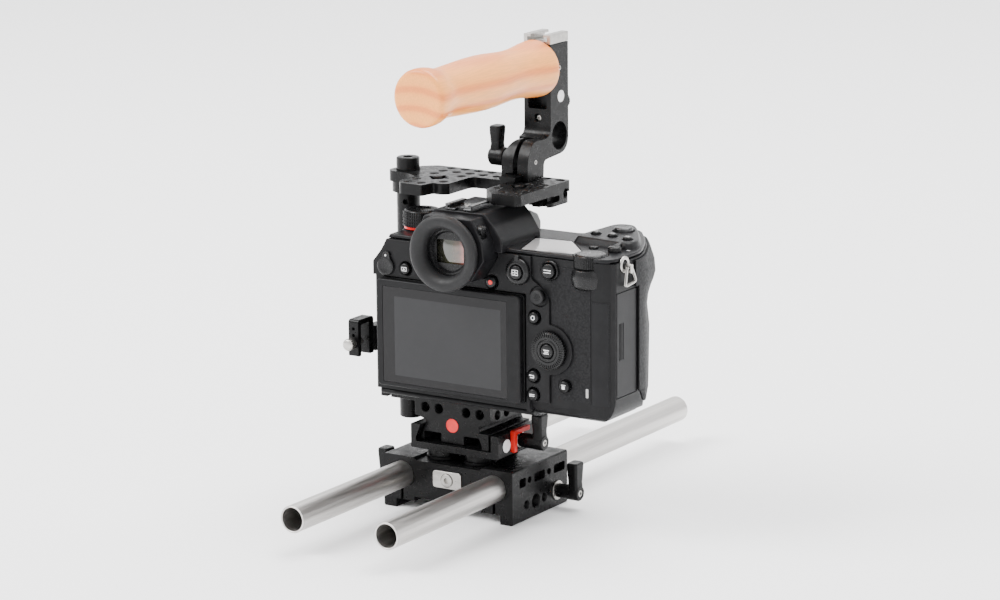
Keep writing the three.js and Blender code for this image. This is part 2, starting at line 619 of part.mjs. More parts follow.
// ---- monitor -----------------------------------------------------------------------------------

function monitorPlate(inset, from, to) {
  const { left, right, bottom, top } = MONITOR;
  return slab("Y", roundedRect(left + inset, right - inset, bottom + inset, top - inset, 3), from, to, 3);
}

add("monitor_frame", "plastic", monitorPlate(0, 94.2, MONITOR.back));
add("monitor_panel", "glass", monitorPlate(0.4, MONITOR.front, 93.9));

// ---- controls ----------------------------------------------------------------------------------

function rearButton(x, z, radius, proud) {
  return bar("Y", radius, x, z, CAMERA.rear - proud, CAMERA.rear + 2, 16);
}

function modeLever() {
  const { x, z, radius } = MODE_LEVER;
  const nub = block(x - 1.3, x + 1.3, 91, 93.2, z + 5, z + radius + 2);
  return cut(join(bar("Y", radius, x, z, 90.6, 93.2, 20), nub), bar("Y", 4.3, x, z, 90, 94, 20));
}

function controlDial() {
  const { x, z, radius } = CONTROL_DIAL;
  return ring("Y", 4.3, radius, x, z, CAMERA.rear - 3.4, CAMERA.rear - GAP, 24);
}

function driveDial() {
  const { x, y, radius } = DRIVE_DIAL;
  const base = CAMERA.top + GAP;
  return join(bar("Z", radius, x, y, base + 2, 148.6, 24), bar("Z", radius - 1.6, x, y, base, base + 2.5, 20));
}

function powerLever() {
  const base = CAMERA.top + GAP;
  return join(bar("Z", 3.6, 99.4, 116, base, base + 2.6, 14), block(98.2, 100.6, 117, 122.4, base, base + 3.6));
}

function strapRing() {
  const { x, y, z } = STRAP_PIN;
  const outer = outline([[y - 3, z + 0.75, 1], [y + 3, z + 0.75, 1], [y + 8, z - 11, 2], [y - 6, z - 11, 2]]);
  outer.holes.push(outline([[y - 2, z - 0.75], [y - 4.2, z - 9.4], [y + 6, z - 9.4], [y + 2, z - 0.75]]));
  return slab("X", outer, x - 0.75, x + 0.75, 2);
}

for (const [name, x, z, radius] of REAR_BUTTONS) {
  add(name, "plastic", rearButton(x, z, radius, name === "af_on_button" ? 2 : 1.4));
}
for (const [name, x, y] of DECK_BUTTONS) add(name, "plastic", bar("Z", 2.6, x, y, 138.5, 141.8, 12));
add("control_dial", "plastic", controlDial());
add("control_dial_button", "plastic", bar("Y", 3.9, CONTROL_DIAL.x, CONTROL_DIAL.z, 89.7, 95.5, 16));
add("joystick", "rubber", join(
  bar("Y", 2.2, 66.3, 113.5, 91, 95.5, 12),
  bar("Y", 4.3, 66.3, 113.5, 90.4, 92.4, 16),
));
add("af_mode_lever", "plastic", modeLever());
add("af_mode_button", "plastic", bar("Y", 3.9, MODE_LEVER.x, MODE_LEVER.z, 89.8, 95.5, 16));
add("rear_dial", "plastic", bar("Z", REAR_DIAL.radius, REAR_DIAL.x, REAR_DIAL.y, 131, 138, 24));
add("drive_dial", "plastic", driveDial());
add("power_lever", "plastic", powerLever());
add("shutter_button", "silver", bar("Z", 5.2, 84, 151.5, 137.6, 142.6, 18));
add("strap_ring", "steel", strapRing());

// ---- origin ------------------------------------------------------------------------------------

const bounds = new THREE.Box3().setFromObject(rig);
const middle = bounds.getCenter(new THREE.Vector3());
rig.position.set(-middle.x, -middle.y, -bounds.min.z);

export default rig;
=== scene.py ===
"""Looks of the cinema camera rig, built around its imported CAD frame.

Every shape is drawn in millimetres from the middle of the rods' rear ends, at rod-axis height:
X to the operator's right, Y along the rods towards the lens, Z up. piece() moves a finished shape
into the row frame, so that it lands on the CAD part that it stands for.
"""
import math

import bmesh
import bpy
from mathutils import Matrix, Vector


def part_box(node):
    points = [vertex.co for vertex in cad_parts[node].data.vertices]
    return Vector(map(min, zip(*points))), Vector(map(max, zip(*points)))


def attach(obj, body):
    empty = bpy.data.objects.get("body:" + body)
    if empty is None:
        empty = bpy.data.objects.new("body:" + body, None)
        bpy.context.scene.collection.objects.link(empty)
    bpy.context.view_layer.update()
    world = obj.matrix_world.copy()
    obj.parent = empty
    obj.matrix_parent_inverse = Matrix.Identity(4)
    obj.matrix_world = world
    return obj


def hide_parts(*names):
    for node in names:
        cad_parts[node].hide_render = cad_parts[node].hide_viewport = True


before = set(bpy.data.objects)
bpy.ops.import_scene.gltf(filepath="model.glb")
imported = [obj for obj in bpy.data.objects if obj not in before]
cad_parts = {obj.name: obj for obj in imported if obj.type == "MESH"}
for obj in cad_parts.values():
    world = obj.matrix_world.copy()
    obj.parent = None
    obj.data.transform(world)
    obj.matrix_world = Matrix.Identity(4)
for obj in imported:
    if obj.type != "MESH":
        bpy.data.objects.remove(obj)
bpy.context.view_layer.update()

MM = 0.001
ROUND = 56  # sides of a large round shape
GAP = 0.3  # clearance kept between neighbouring pieces


def rig_origin():
    """Midway between the two rods, at their rear ends and at the height of their axes."""
    left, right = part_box("rod_left"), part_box("rod_right")
    return Vector(((left[0].x + right[1].x) / 2, left[0].y, (left[0].z + left[1].z) / 2))


ORIGIN = rig_origin()


def span(node):
    """A CAD node's limits in drawing millimetres: x0, x1, y0, y1, z0, z1."""
    low, high = ((corner - ORIGIN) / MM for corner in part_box(node))
    return low.x, high.x, low.y, high.y, low.z, high.z


def centre(node):
    x0, x1, y0, y1, z0, z1 = span(node)
    return (x0 + x1) / 2, (y0 + y1) / 2, (z0 + z1) / 2


# ---- shapes ----------------------------------------------------------------------------------

# Where a point u, v of a section lies when the section is w along each axis.
SPOT = {
    "X": lambda u, v, w: (w, u, v),
    "Y": lambda u, v, w: (u, w, v),
    "Z": lambda u, v, w: (u, v, w),
}


def solid(vertices, faces):
    """A mesh with merged corners and every face pointing out."""
    mesh = bpy.data.meshes.new("solid")
    mesh.from_pydata(vertices, [], faces)
    work = bmesh.new()
    work.from_mesh(mesh)
    bmesh.ops.remove_doubles(work, verts=work.verts, dist=1e-5)
    bmesh.ops.recalc_face_normals(work, faces=work.faces)
    work.to_mesh(mesh)
    work.free()
    return mesh


def outline(points, steps=8):
    """A closed loop of [u, v] or [u, v, corner size] points, with its corners rounded."""
    loop = []
    for i, (u, v, *size) in enumerate(points):
        here = Vector((u, v))
        if not size or not size[0]:
            loop.append(here)
            continue
        ends = []
        for other in (points[i - 1], points[(i + 1) % len(points)]):
            side = Vector(other[:2]) - here
            ends.append(here + side.normalized() * min(size[0], side.length * 0.45))
        for k in range(steps + 1):
            t = k / steps
            loop.append(ends[0] * (1 - t) ** 2 + here * (2 * t * (1 - t)) + ends[1] * t * t)
    return [tuple(point) for point in loop]


def rectangle(u0, u1, v0, v1, corner=0):
    return outline([(u0, v0, corner), (u1, v0, corner), (u1, v1, corner), (u0, v1, corner)])


def circle(u, v, radius, sides=ROUND):
    turn = 2 * math.pi / sides
    return [(u + radius * math.cos(k * turn), v + radius * math.sin(k * turn)) for k in range(sides)]


def toothed(u, v, radius, depth, teeth):
    """A knurled rim: each tooth has a crest and a root of equal width."""
    loop = []
    for k in range(teeth * 4):
        angle = 2 * math.pi * (k + 0.5) / (teeth * 4)
        reach = radius if k % 4 in (0, 1) else radius - depth
        loop.append((u + reach * math.cos(angle), v + reach * math.sin(angle)))
    return loop


def band(path, thickness):
    """The closed outline of a sheet of a given thickness that follows an open path on its left."""
    back = []
    for i, point in enumerate(path):
        before, after = Vector(path[max(i - 1, 0)]), Vector(path[min(i + 1, len(path) - 1)])
        along = (after - before).normalized()
        back.append((point[0] - along.y * thickness, point[1] + along.x * thickness))
    return list(path) + back[::-1]


def loft(loops):
    """A solid through rings of equally many 3-D points, closed by its first and last ring."""
    count = len(loops[0])
    vertices = [point for loop in loops for point in loop]
    faces = [list(range(count)), list(range(len(vertices) - count, len(vertices)))]
    for start in range(0, len(vertices) - count, count):
        for i in range(count):
            j = (i + 1) % count
            faces.append((start + i, start + j, start + j + count, start + i + count))
    return solid(vertices, faces)


def slab(axis, loop, start, end):
    """A section drawn across an axis and pulled along it."""
    return loft([[SPOT[axis](u, v, w) for u, v in loop] for w in (start, end)])


def block(x0, x1, y0, y1, z0, z1):
    return slab("Z", [(x0, y0), (x1, y0), (x1, y1), (x0, y1)], z0, z1)


def bar(axis, radius, u, v, start, end, sides=ROUND):
    return slab(axis, circle(u, v, radius, sides), start, end)


def turned(axis, profile, u, v, sides=ROUND):
    """A turned shape from the (radius, height) points of its half section."""
    vertices, rings = [], []
    for radius, height in profile:
        if radius == 0:
            rings.append([len(vertices)] * sides)
            vertices.append(SPOT[axis](u, v, height))
        else:
            rings.append(list(range(len(vertices), len(vertices) + sides)))
            vertices += [SPOT[axis](a, b, height) for a, b in circle(u, v, radius, sides)]
    hollow = all(radius for radius, _ in profile)
    faces = []
    for low, high in zip(rings, rings[1:] + (rings[:1] if hollow else [])):
        for k in range(sides):
            corners = (low[k], low[(k + 1) % sides], high[(k + 1) % sides], high[k])
            face = list(dict.fromkeys(corners))
            if len(face) > 2:
                faces.append(face)
    return solid(vertices, faces)


def hole(axis, radius, u, v, surface, deep, pitch=0, rim=0.35):
    """A cutter for a countersunk hole from a surface inwards, threaded when it has a pitch."""
    inward = math.copysign(1, deep - surface)
    profile = [(0, surface - inward), (radius + rim + 1, surface - inward),
        (radius, surface + inward * rim)]
    if pitch:
        turns = int((abs(deep - surface) - rim) / pitch)
        for k in range(turns):
            start = rim + k * pitch
            profile.append((radius - 0.25 * pitch, surface + inward * (start + pitch / 2)))
            profile.append((radius, surface + inward * (start + pitch)))
    profile += [(radius, deep), (0, deep)]
    return turned(axis, profile, u, v, 32)


def temporary(mesh):
    holder = bpy.data.objects.new("work", mesh)
    bpy.context.scene.collection.objects.link(holder)
    return holder


def evaluated(holder, *others):
    """The holder's mesh with its modifiers applied; it and the other work objects are removed."""
    result = bpy.data.meshes.new_from_object(holder.evaluated_get(bpy.context.evaluated_depsgraph_get()))
    for work in (holder, *others):
        bpy.data.objects.remove(work)
    return result


def combine(base, tools, operation):
    holder = temporary(base)
    others = [temporary(tool) for tool in tools]
    for other in others:
        modifier = holder.modifiers.new("combine", "BOOLEAN")
        modifier.solver = "MANIFOLD"
        modifier.operation = operation
        modifier.object = other
    return evaluated(holder, *others)


def cut(base, *tools):
    return combine(base, tools, "DIFFERENCE")


def join(base, *parts):
    return combine(base, parts, "UNION")


def keep(base, *tools):
    return combine(base, tools, "INTERSECT")


def softened(mesh, width, segments=2, angle=32):
    """The shape with its sharp edges rounded."""
    holder = temporary(mesh)
    modifier = holder.modifiers.new("edges", "BEVEL")
    modifier.width = width
    modifier.segments = segments
    modifier.limit_method = "ANGLE"
    modifier.angle_limit = math.radians(angle)
    modifier.miter_outer = "MITER_ARC"
    return evaluated(holder)


def gather(*meshes):
    """Several separate shapes as one mesh."""
    work = bmesh.new()
    for mesh in meshes:
        work.from_mesh(mesh)
    whole = bpy.data.meshes.new("solid")
    work.to_mesh(whole)
    work.free()
    return whole


def turned_about(mesh, axis, degrees, point):
    """The shape turned about an axis through a point."""
    pivot = Matrix.Translation(point)
    mesh.transform(pivot @ Matrix.Rotation(math.radians(degrees), 4, axis) @ pivot.inverted())
    return mesh


TO_ROW = Matrix.Translation(ORIGIN) @ Matrix.Scale(MM, 4)


def piece(name, mesh, material, body, slot, *replaced, crease=50):
    """Makes a finished shape a piece of the rig, riding on a body."""
    mesh.transform(TO_ROW)
    mesh.polygons.foreach_set("use_smooth", [True] * len(mesh.polygons))
    mesh.set_sharp_from_angle(angle=math.radians(crease))
    mesh.materials.clear()
    mesh.materials.append(material)
    shown = bpy.data.objects.new(name, mesh)
    bpy.context.scene.collection.objects.link(shown)
    normals = shown.modifiers.new("normals", "WEIGHTED_NORMAL")
    normals.keep_sharp = True
    normals.weight = 80
    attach(shown, body)
    if replaced:
        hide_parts(*replaced)
    return shown


# ---- finishes --------------------------------------------------------------------------------


class Finish:
    """A Principled material, with texture nodes measured in millimetres on the piece itself."""

    def __init__(self, name, colour, roughness, metallic=0.0, **sockets):
        self.material = bpy.data.materials.new(name)
        self.material.use_nodes = True
        self.nodes = self.material.node_tree.nodes
        self.link = self.material.node_tree.links.new
        self.shader = self.nodes["Principled BSDF"]
        self.set("Base Color", (*colour, 1))
        self.set("Roughness", roughness)
        self.set("Metallic", metallic)
        for socket, value in sockets.items():
            self.set(socket.replace("_", " ").title().replace("Ior", "IOR"), value)
        self.place = self.nodes.new("ShaderNodeTexCoord").outputs["Object"]

    def set(self, socket, value):
        self.shader.inputs[socket].default_value = value

    def mapped(self, size, stretch, shift=(0, 0, 0)):
        mapping = self.nodes.new("ShaderNodeMapping")
        mapping.inputs["Scale"].default_value = [factor / (size * MM) for factor in stretch]
        mapping.inputs["Location"].default_value = shift
        self.link(self.place, mapping.inputs["Vector"])
        return mapping.outputs["Vector"]

    def noise(self, size, stretch=(1, 1, 1), detail=3, distortion=0):
        texture = self.nodes.new("ShaderNodeTexNoise")
        texture.inputs["Scale"].default_value = 1
        texture.inputs["Detail"].default_value = detail
        texture.inputs["Distortion"].default_value = distortion
        self.link(self.mapped(size, stretch), texture.inputs["Vector"])
        return texture.outputs["Fac"]

    def cells(self, size, stretch=(1, 1, 1)):
        texture = self.nodes.new("ShaderNodeTexVoronoi")
        texture.feature = "SMOOTH_F1"
        texture.inputs["Scale"].default_value = 1
        self.link(self.mapped(size, stretch), texture.inputs["Vector"])
        return texture.outputs["Distance"]

    def ramp(self, source, *stops):
        """Colours or greys at positions along a texture's value."""
        ramp = self.nodes.new("ShaderNodeValToRGB")
        while len(ramp.color_ramp.elements) < len(stops):
            ramp.color_ramp.elements.new(0.5)
        for element, (position, value) in zip(ramp.color_ramp.elements, stops):
            element.position = position
            element.color = (*value, 1) if isinstance(value, tuple) else (value, value, value, 1)
        self.link(source, ramp.inputs["Fac"])
        return ramp.outputs["Color"]

    def mix(self, factor, first, second, blend="MIX"):
        mix = self.nodes.new("ShaderNodeMix")
        mix.data_type = "RGBA"
        mix.blend_type = blend
        for index, value in ((0, factor), (6, first), (7, second)):
            if isinstance(value, bpy.types.NodeSocket):
                self.link(value, mix.inputs[index])
            else:
                mix.inputs[index].default_value = value
        return mix.outputs[2]

    def colour(self, source):
        self.link(source, self.shader.inputs["Base Color"])
        return self

    def rough(self, source, low, high, start=0.35, end=0.65):
        self.link(self.ramp(source, (start, low), (end, high)), self.shader.inputs["Roughness"])
        return self

    def bump(self, source, strength, depth):
        """Adds a relief of a given depth in millimetres, over any relief already there."""
        bump = self.nodes.new("ShaderNodeBump")
        bump.inputs["Strength"].default_value = strength
        bump.inputs["Distance"].default_value = depth * MM
        normal = self.shader.inputs["Normal"]
        if normal.links:
            self.link(normal.links[0].from_socket, bump.inputs["Normal"])
        self.link(source, bump.inputs["Height"])
        self.link(bump.outputs["Normal"], normal)
        return self


def anodised(name, colour, roughness=0.36):
    """Bead-blasted and dyed aluminium: an even satin with a fine tooth and faint handling marks."""
    darker, lighter = ([channel * factor for channel in colour] for factor in (0.8, 1.25))
    finish = Finish(name, colour, roughness, specular_ior_level=0.14)
    finish.colour(finish.ramp(finish.noise(9), (0.35, tuple(darker)), (0.65, tuple(lighter))))
    finish.rough(finish.noise(3.5, detail=5), roughness - 0.06, roughness + 0.1)
    finish.bump(finish.noise(0.3, detail=1), 0.06, 0.012)
    return finish.material


def brushed(name, colour, roughness, stretch, spread=0.12):
    """Bare metal with fine lines along one direction."""
    finish = Finish(name, colour, roughness, 1.0)
    lines = finish.noise(0.5, stretch, detail=4)
    streaks = finish.noise(2.2, stretch, detail=3)
    darker = tuple(channel * 0.78 for channel in colour)
    finish.colour(finish.ramp(streaks, (0.3, darker), (0.7, tuple(colour))))
    finish.rough(lines, roughness - spread / 2, roughness + spread, 0.3, 0.7)
    finish.bump(lines, 0.12, 0.02)
    return finish.material


def maple():
    """Oiled maple: growth rings about an axis well under the grip, cut by fine pores along it."""
    finish = Finish("maple", (0.8, 0.5, 0.25), 0.42, coat_weight=0.25, coat_roughness=0.25)
    rings = finish.nodes.new("ShaderNodeTexWave")
    rings.wave_type = "RINGS"
    rings.rings_direction = "Y"
    rings.inputs["Scale"].default_value = 0.32
    rings.inputs["Distortion"].default_value = 2.2
    rings.inputs["Detail"].default_value = 3
    rings.inputs["Detail Scale"].default_value = 0.6
    heart = (0.9, 0, -19.2)  # of the tree, in the centimetres of the mapping
    finish.link(finish.mapped(10, (1, 0.06, 1), heart), rings.inputs["Vector"])
    grown = finish.ramp(rings.outputs["Fac"], (0.1, (0.95, 0.36, 0.068)), (0.6, (0.93, 0.325, 0.055)),
        (0.95, (0.8, 0.22, 0.03)))
    pores = finish.ramp(finish.noise(0.7, (1, 0.05, 1), detail=5), (0.42, 0.82), (0.6, 1.0))
    clouds = finish.ramp(finish.noise(24, (1, 0.5, 1), detail=2), (0.3, (0.93, 0.9, 0.86)),
        (0.7, (1.0, 1.0, 1.0)))
    finish.colour(finish.mix(1.0, finish.mix(0.6, grown, pores, "MULTIPLY"), clouds, "MULTIPLY"))
    finish.rough(finish.noise(4, (1, 0.2, 1)), 0.34, 0.5)
    finish.bump(finish.noise(0.4, (1, 0.04, 1), detail=4), 0.1, 0.03)
    return finish.material


def moulded(name, colour, roughness, grain, depth, **sockets):
    """Textured plastic: an etched grain over a faint unevenness of tone."""
    darker, lighter = (tuple(channel * factor for channel in colour) for factor in (0.85, 1.2))
    finish = Finish(name, colour, roughness, **sockets)
    finish.colour(finish.ramp(finish.noise(6), (0.3, darker), (0.7, lighter)))
    finish.rough(finish.noise(grain * 4), roughness - 0.05, roughness + 0.08)
    finish.bump(finish.noise(grain, detail=2), 0.5, depth)
    return finish.material


def leatherette():
    """Pebbled grip covering: rounded grains with creases between them, and painted shade that darkens the
    creases.
    """
    finish = Finish("leatherette", (0.008, 0.008, 0.009), 0.6, specular_ior_level=0.14)
    pebble_relief_and_crease_shade = finish.cells(0.9)
    # painted shade: the colour darkens from each pebble's middle into the creases between the pebbles
    finish.colour(finish.ramp(pebble_relief_and_crease_shade, (0.1, (0.011, 0.011, 0.012)), (0.7, (0.004, 0.004, 0.0045))))
    finish.rough(finish.noise(1.4), 0.52, 0.68)
    finish.bump(pebble_relief_and_crease_shade, 0.55, -0.12).bump(finish.noise(0.3, detail=2), 0.3, 0.04)
    return finish.material


def glassy(name, colour, roughness=0.06, **sockets):
    """A polished cover over a flat colour, with the faintest smears."""
    finish = Finish(name, colour, roughness, **sockets)
    finish.rough(finish.noise(11, detail=4), roughness, roughness + 0.07)
    finish.colour(finish.ramp(finish.noise(30), (0.3, tuple(c * 0.94 for c in colour)),
        (0.7, tuple(colour))))
    return finish.material


def coated_optics():
    """The viewfinder's eyepiece: dark glass with a painted reflection of its coatings, olive on one side and
    rose on the other.
    """
    finish = Finish("coated_optics", (0.02, 0.02, 0.015), 0.05, coat_weight=1.0)
    x, _, z = centre("eyepiece_lens")
    middle = Vector((x, 0, z)) * MM + ORIGIN
    mapping = finish.nodes.new("ShaderNodeMapping")
    mapping.inputs["Location"].default_value = (0.5 - middle.x / 0.018, 0, -middle.z / 0.018)
    mapping.inputs["Scale"].default_value = (1 / 0.018, 0, 1 / 0.018)
    finish.link(finish.place, mapping.inputs["Vector"])
    across = finish.nodes.new("ShaderNodeSeparateXYZ")
    finish.link(mapping.outputs["Vector"], across.inputs["Vector"])
    # painted reflection: olive to rose from left to right across the eyepiece, broken into patches by noise
    painted_coating_reflection = finish.ramp(
        across.outputs["X"], (0.15, (0.008, 0.008, 0.006)), (0.5, (0.03, 0.032, 0.012)),
        (0.78, (0.12, 0.06, 0.04)), (0.95, (0.5, 0.16, 0.14)),
    )
    finish.colour(finish.mix(finish.ramp(finish.noise(5), (0.35, 0.0), (0.65, 0.6)), painted_coating_reflection,
        (0.012, 0.012, 0.008, 1)))
    return finish.material


def circuit_board():
    finish = Finish("circuit_board", (0.02, 0.16, 0.07), 0.5)
    traces = finish.ramp(finish.cells(2.5), (0.25, (0.03, 0.22, 0.1)), (0.4, (0.015, 0.11, 0.05)))
    finish.colour(traces).bump(finish.cells(2.5), 0.4, 0.05)
    return finish.material


LOOK = {
    "black": anodised("black_anodised", (0.0035, 0.0035, 0.0037), 0.3),
    "red": anodised("red_anodised", (0.42, 0.008, 0.005)),
    "steel": brushed("rod_steel", (0.62, 0.6, 0.58), 0.36, (1, 0.015, 1)),
    "silver": brushed("bright_metal", (0.5, 0.485, 0.46), 0.32, (0.3, 1, 1)),
    "maple": maple(),
    "body": moulded("camera_body", (0.006, 0.006, 0.0065), 0.42, 0.16, 0.02, specular_ior_level=0.13),
    "cover": moulded("camera_metal", (0.007, 0.007, 0.0078), 0.34, 0.12, 0.012, specular_ior_level=0.13),
    "leather": leatherette(),
    "control": moulded("control_black", (0.004, 0.004, 0.0044), 0.27, 0.25, 0.008, specular_ior_level=0.24),
    "rubber": moulded("soft_rubber", (0.008, 0.008, 0.0085), 0.5, 0.3, 0.015, specular_ior_level=0.24),
    "screen": glassy("screen_glass", (0.007, 0.0067, 0.0073), 0.1, specular_ior_level=0.18),
    "display": glassy("display", (0.019, 0.019, 0.0202), 0.1, specular_ior_level=0.18),
    "window": glassy("status_window", (0.3, 0.295, 0.295), 0.12, coat_weight=0.5),
    "dark_metal": brushed("dark_metal", (0.09, 0.09, 0.092), 0.28, (1, 0.1, 1)),
    "optics": coated_optics(),
    "board": circuit_board(),
    "white": moulded("white_print", (0.7, 0.7, 0.7), 0.5, 0.3, 0.005),
    "vermilion": moulded("vermilion_print", (0.7, 0.004, 0.003), 0.4, 0.3, 0.005),
}

ANODISED, STEEL, BRIGHT, CATCH = "black_anodised", "rod_steel", "bright_metal", "red_anodised"
BODY, CONTROL, RUBBER, GLASS = "camera_body", "control_black", "soft_rubber", "screen_glass"


# ---- small repeated parts ----------------------------------------------------------------------


def socket_screw(name, axis, radius, u, v, face, out, body, depth=1.6):
    """A socket-head screw seen end on: a chamfered silver head with a hexagon sunk into it."""
    back, front = face - out * depth, face + out * 0.25
    profile = [(0, back), (radius, back), (radius, front - out * 0.3), (radius - 0.3, front), (0, front)]
    hexagon = slab(axis, circle(u, v, radius * 0.5, 6), face - out * 1.2, front + out)
    return piece(name, cut(turned(axis, profile, u, v, 36), hexagon), LOOK["silver"], body, BRIGHT)


def mark(name, axis, loops, face, out, body, look="white", thickness=0.12):
    """Flat printed marks, a hair proud of a face."""
    near, far = face - out * 0.25, face + out * thickness
    return piece(name, gather(*(slab(axis, loop, near, far) for loop in loops)), LOOK[look], body, CONTROL)


def round_badge(name, axis, radius, u, v, face, out, body, look):
    """A plain enamelled disc with a raised rim."""
    rim = turned(axis, [
        (0, face - out * 0.4), (radius, face - out * 0.4), (radius, face + out * 0.15),
        (radius - 0.25, face + out * 0.3),
        (radius - 0.5, face + out * 0.15), (0, face + out * 0.15),
    ], u, v, 40)
    return piece(name, rim, LOOK[look], body, CATCH if look == "vermilion" else BRIGHT)


# ---- rods and base clamp -----------------------------------------------------------------------


def rods():
    for side in ("left", "right"):
        x0, x1, y0, y1, z0, z1 = span(f"rod_{side}")
        outer = (x1 - x0) / 2
        inner, bevel = outer - 1.2, 0.35
        profile = [
            (inner, y0 + bevel), (inner + bevel, y0), (outer - bevel, y0), (outer, y0 + bevel),
            (outer, y1 - bevel), (outer - bevel, y1), (inner + bevel, y1), (inner, y1 - bevel),
        ]
        tube = turned("Y", profile, (x0 + x1) / 2, (z0 + z1) / 2, 96)
        piece(f"rod_{side}_tube", tube, LOOK["steel"], f"{side}_rod", STEEL, f"rod_{side}")


def base_clamp():
    _, half, rear, front, bottom, shoulder = span("base_block")
    rod_x = centre("rod_right")[0]
    top, channel = 9, bottom + 5
    right = [(34, bottom), (half, bottom, 1.2), (half, shoulder, 1.2), (22.4, shoulder), (21, top)]
    left = [(-x, z, *size) for x, z, *size in reversed(right)]
    under = [(-34, channel), (-22, channel), (-22, channel + 2.5), (22, channel + 2.5), (22, channel),
        (34, channel)]
    body = slab("Y", outline(right + left + under), rear, front)
    for side in (-1, 1):
        bore = bar("Y", 7.5 + GAP, side * rod_x, 0, rear - 1, front + 1, 72)
        slot = block(side * rod_x - 0.8, side * rod_x + 0.8, rear - 1, front + 1, channel - 1, -6)
        body = cut(body, bore, slot)
    recess = slab("Y", rectangle(-9.5, 9.5, -4.5, 5.7, 2), rear - 1, rear + 1.3)
    body = softened(cut(body, recess), 0.4)
    pocket_spans = [(111.3, 117.7), (126.7, 137.6), (146.8, 158.3)]
    tools = [slab("X", rectangle(a, b, 0, 5, 1.2), half - 4, half + 1) for a, b in pocket_spans]
    for y in (121.9, 141.9):
        tools.append(hole("X", 1.7, y, 2.6, half, half - 5))
    tools.append(hole("X", 4.1, 128.3, -10.9, half, half - 6, pitch=1.2))
    for y in (118.6, 137):
        tools.append(hole("X", 2.5, y, -10.9, half, half - 7, pitch=1))
    for side, lever_y in ((1, 150), (-1, 124)):
        tools.append(bar("X", 3, lever_y, -10, *sorted((side * (half - 6), side * (half + 1)))))
    for x in (-12, 12):
        tools.append(hole("Z", 3.2, x, 153, top, top - 4, pitch=1))
    for y in (113, 132, 151):
        tools.append(slab("X", rectangle(y - 4.5, y + 4.5, 0.2, 5.6, 1.2), -half - 1, -half + 4))
    piece("base_block_body", cut(body, *tools), LOOK["black"], "base", ANODISED, "base_block")

    plate = softened(slab("Y", rectangle(-9.2, 9.2, -4.2, 5.4, 2), rear - 0.8, rear + 1), 0.25)
    plate = cut(plate, bar("Y", 4, 0, 0.5, rear - 2, rear + 0.2))
    piece("base_lock_plate_body", plate, LOOK["silver"], "base", BRIGHT, "base_lock_plate")
    socket_screw("base_lock_screw", "Y", 3.6, 0, 0.5, rear - 1.2, -1, "base")
    for x in (-12, 12):
        for y in (118.6, 141):
            low, high = span("riser")[4:]
            profile = [(0, low), (9.2, low), (9.2, low + 1.4), (8.5, low + 1.8), (8.5, high - 0.4),
                (8.1, high), (0, high)]
            name = f"riser_column_{'left' if x < 0 else 'right'}_{'rear' if y < 130 else 'front'}"
            shown = piece(name, turned("Z", profile, x, y), LOOK["black"], "base", ANODISED)
            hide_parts("riser")


def clamp_lever(name, node, body, pivot_y, pivot_z, wall, side, reach, washer_radius=5.4):
    """A ratchet lever: a barrel hub, a flared tab with a waist, a washer and a socket screw."""
    x0, x1 = span(node)[:2]
    tip = x1 if side > 0 else x0
    near = wall + side * GAP
    barrel = [(0, near + side * 0.9), (3.9, near + side * 0.9), (4.1, near + side * 4),
        (4.3, tip - side * 5), (4.3, tip - side * 0.8), (3.7, tip), (0, tip)]
    hub = turned("X", barrel, pivot_y, pivot_z, 48)
    y, z = pivot_y, pivot_z
    stations = [
        (-2.0, 3.6, 6.2), (2.5, 3.8, 6.2), (6.0, 3.6, 5.7), (9.5, 4.0, 6.0), (reach - 1.5, 4.5, 6.5),
        (reach - 0.4, 4.3, 6.2), (reach, 3.8, 5.5),
    ]
    middle = tip - side * 3.4
    loops = []
    for rise, half_width, depth in stations:
        ring = rectangle(y - half_width, y + half_width, middle - depth / 2, middle + depth / 2, 1.6)
        loops.append([(w, u, z + rise) for u, w in ring])
    grip = join(hub, loft(loops))
    core = bar("X", 2.4, y, z, *sorted((wall - side * 4, near + side * 1.2)), 32)
    screw_seat = bar("X", 2.1, y, z, *sorted((tip - side * 0.8, tip + side)), 32)
    piece(f"{name}_body", cut(join(grip, core), screw_seat), LOOK["black"], body, ANODISED, node)
    socket_screw(f"{name}_screw", "X", 2.0, y, z, tip - side * 0.3, side, body)
    washer = turned("X", [
        (2.6, near), (washer_radius, near), (washer_radius, near + side * 0.5),
        (washer_radius - 0.3, near + side * 0.75),
        (2.6, near + side * 0.75),
    ], y, z, 48)
    piece(f"{name}_washer", washer, LOOK["silver"], body, BRIGHT)


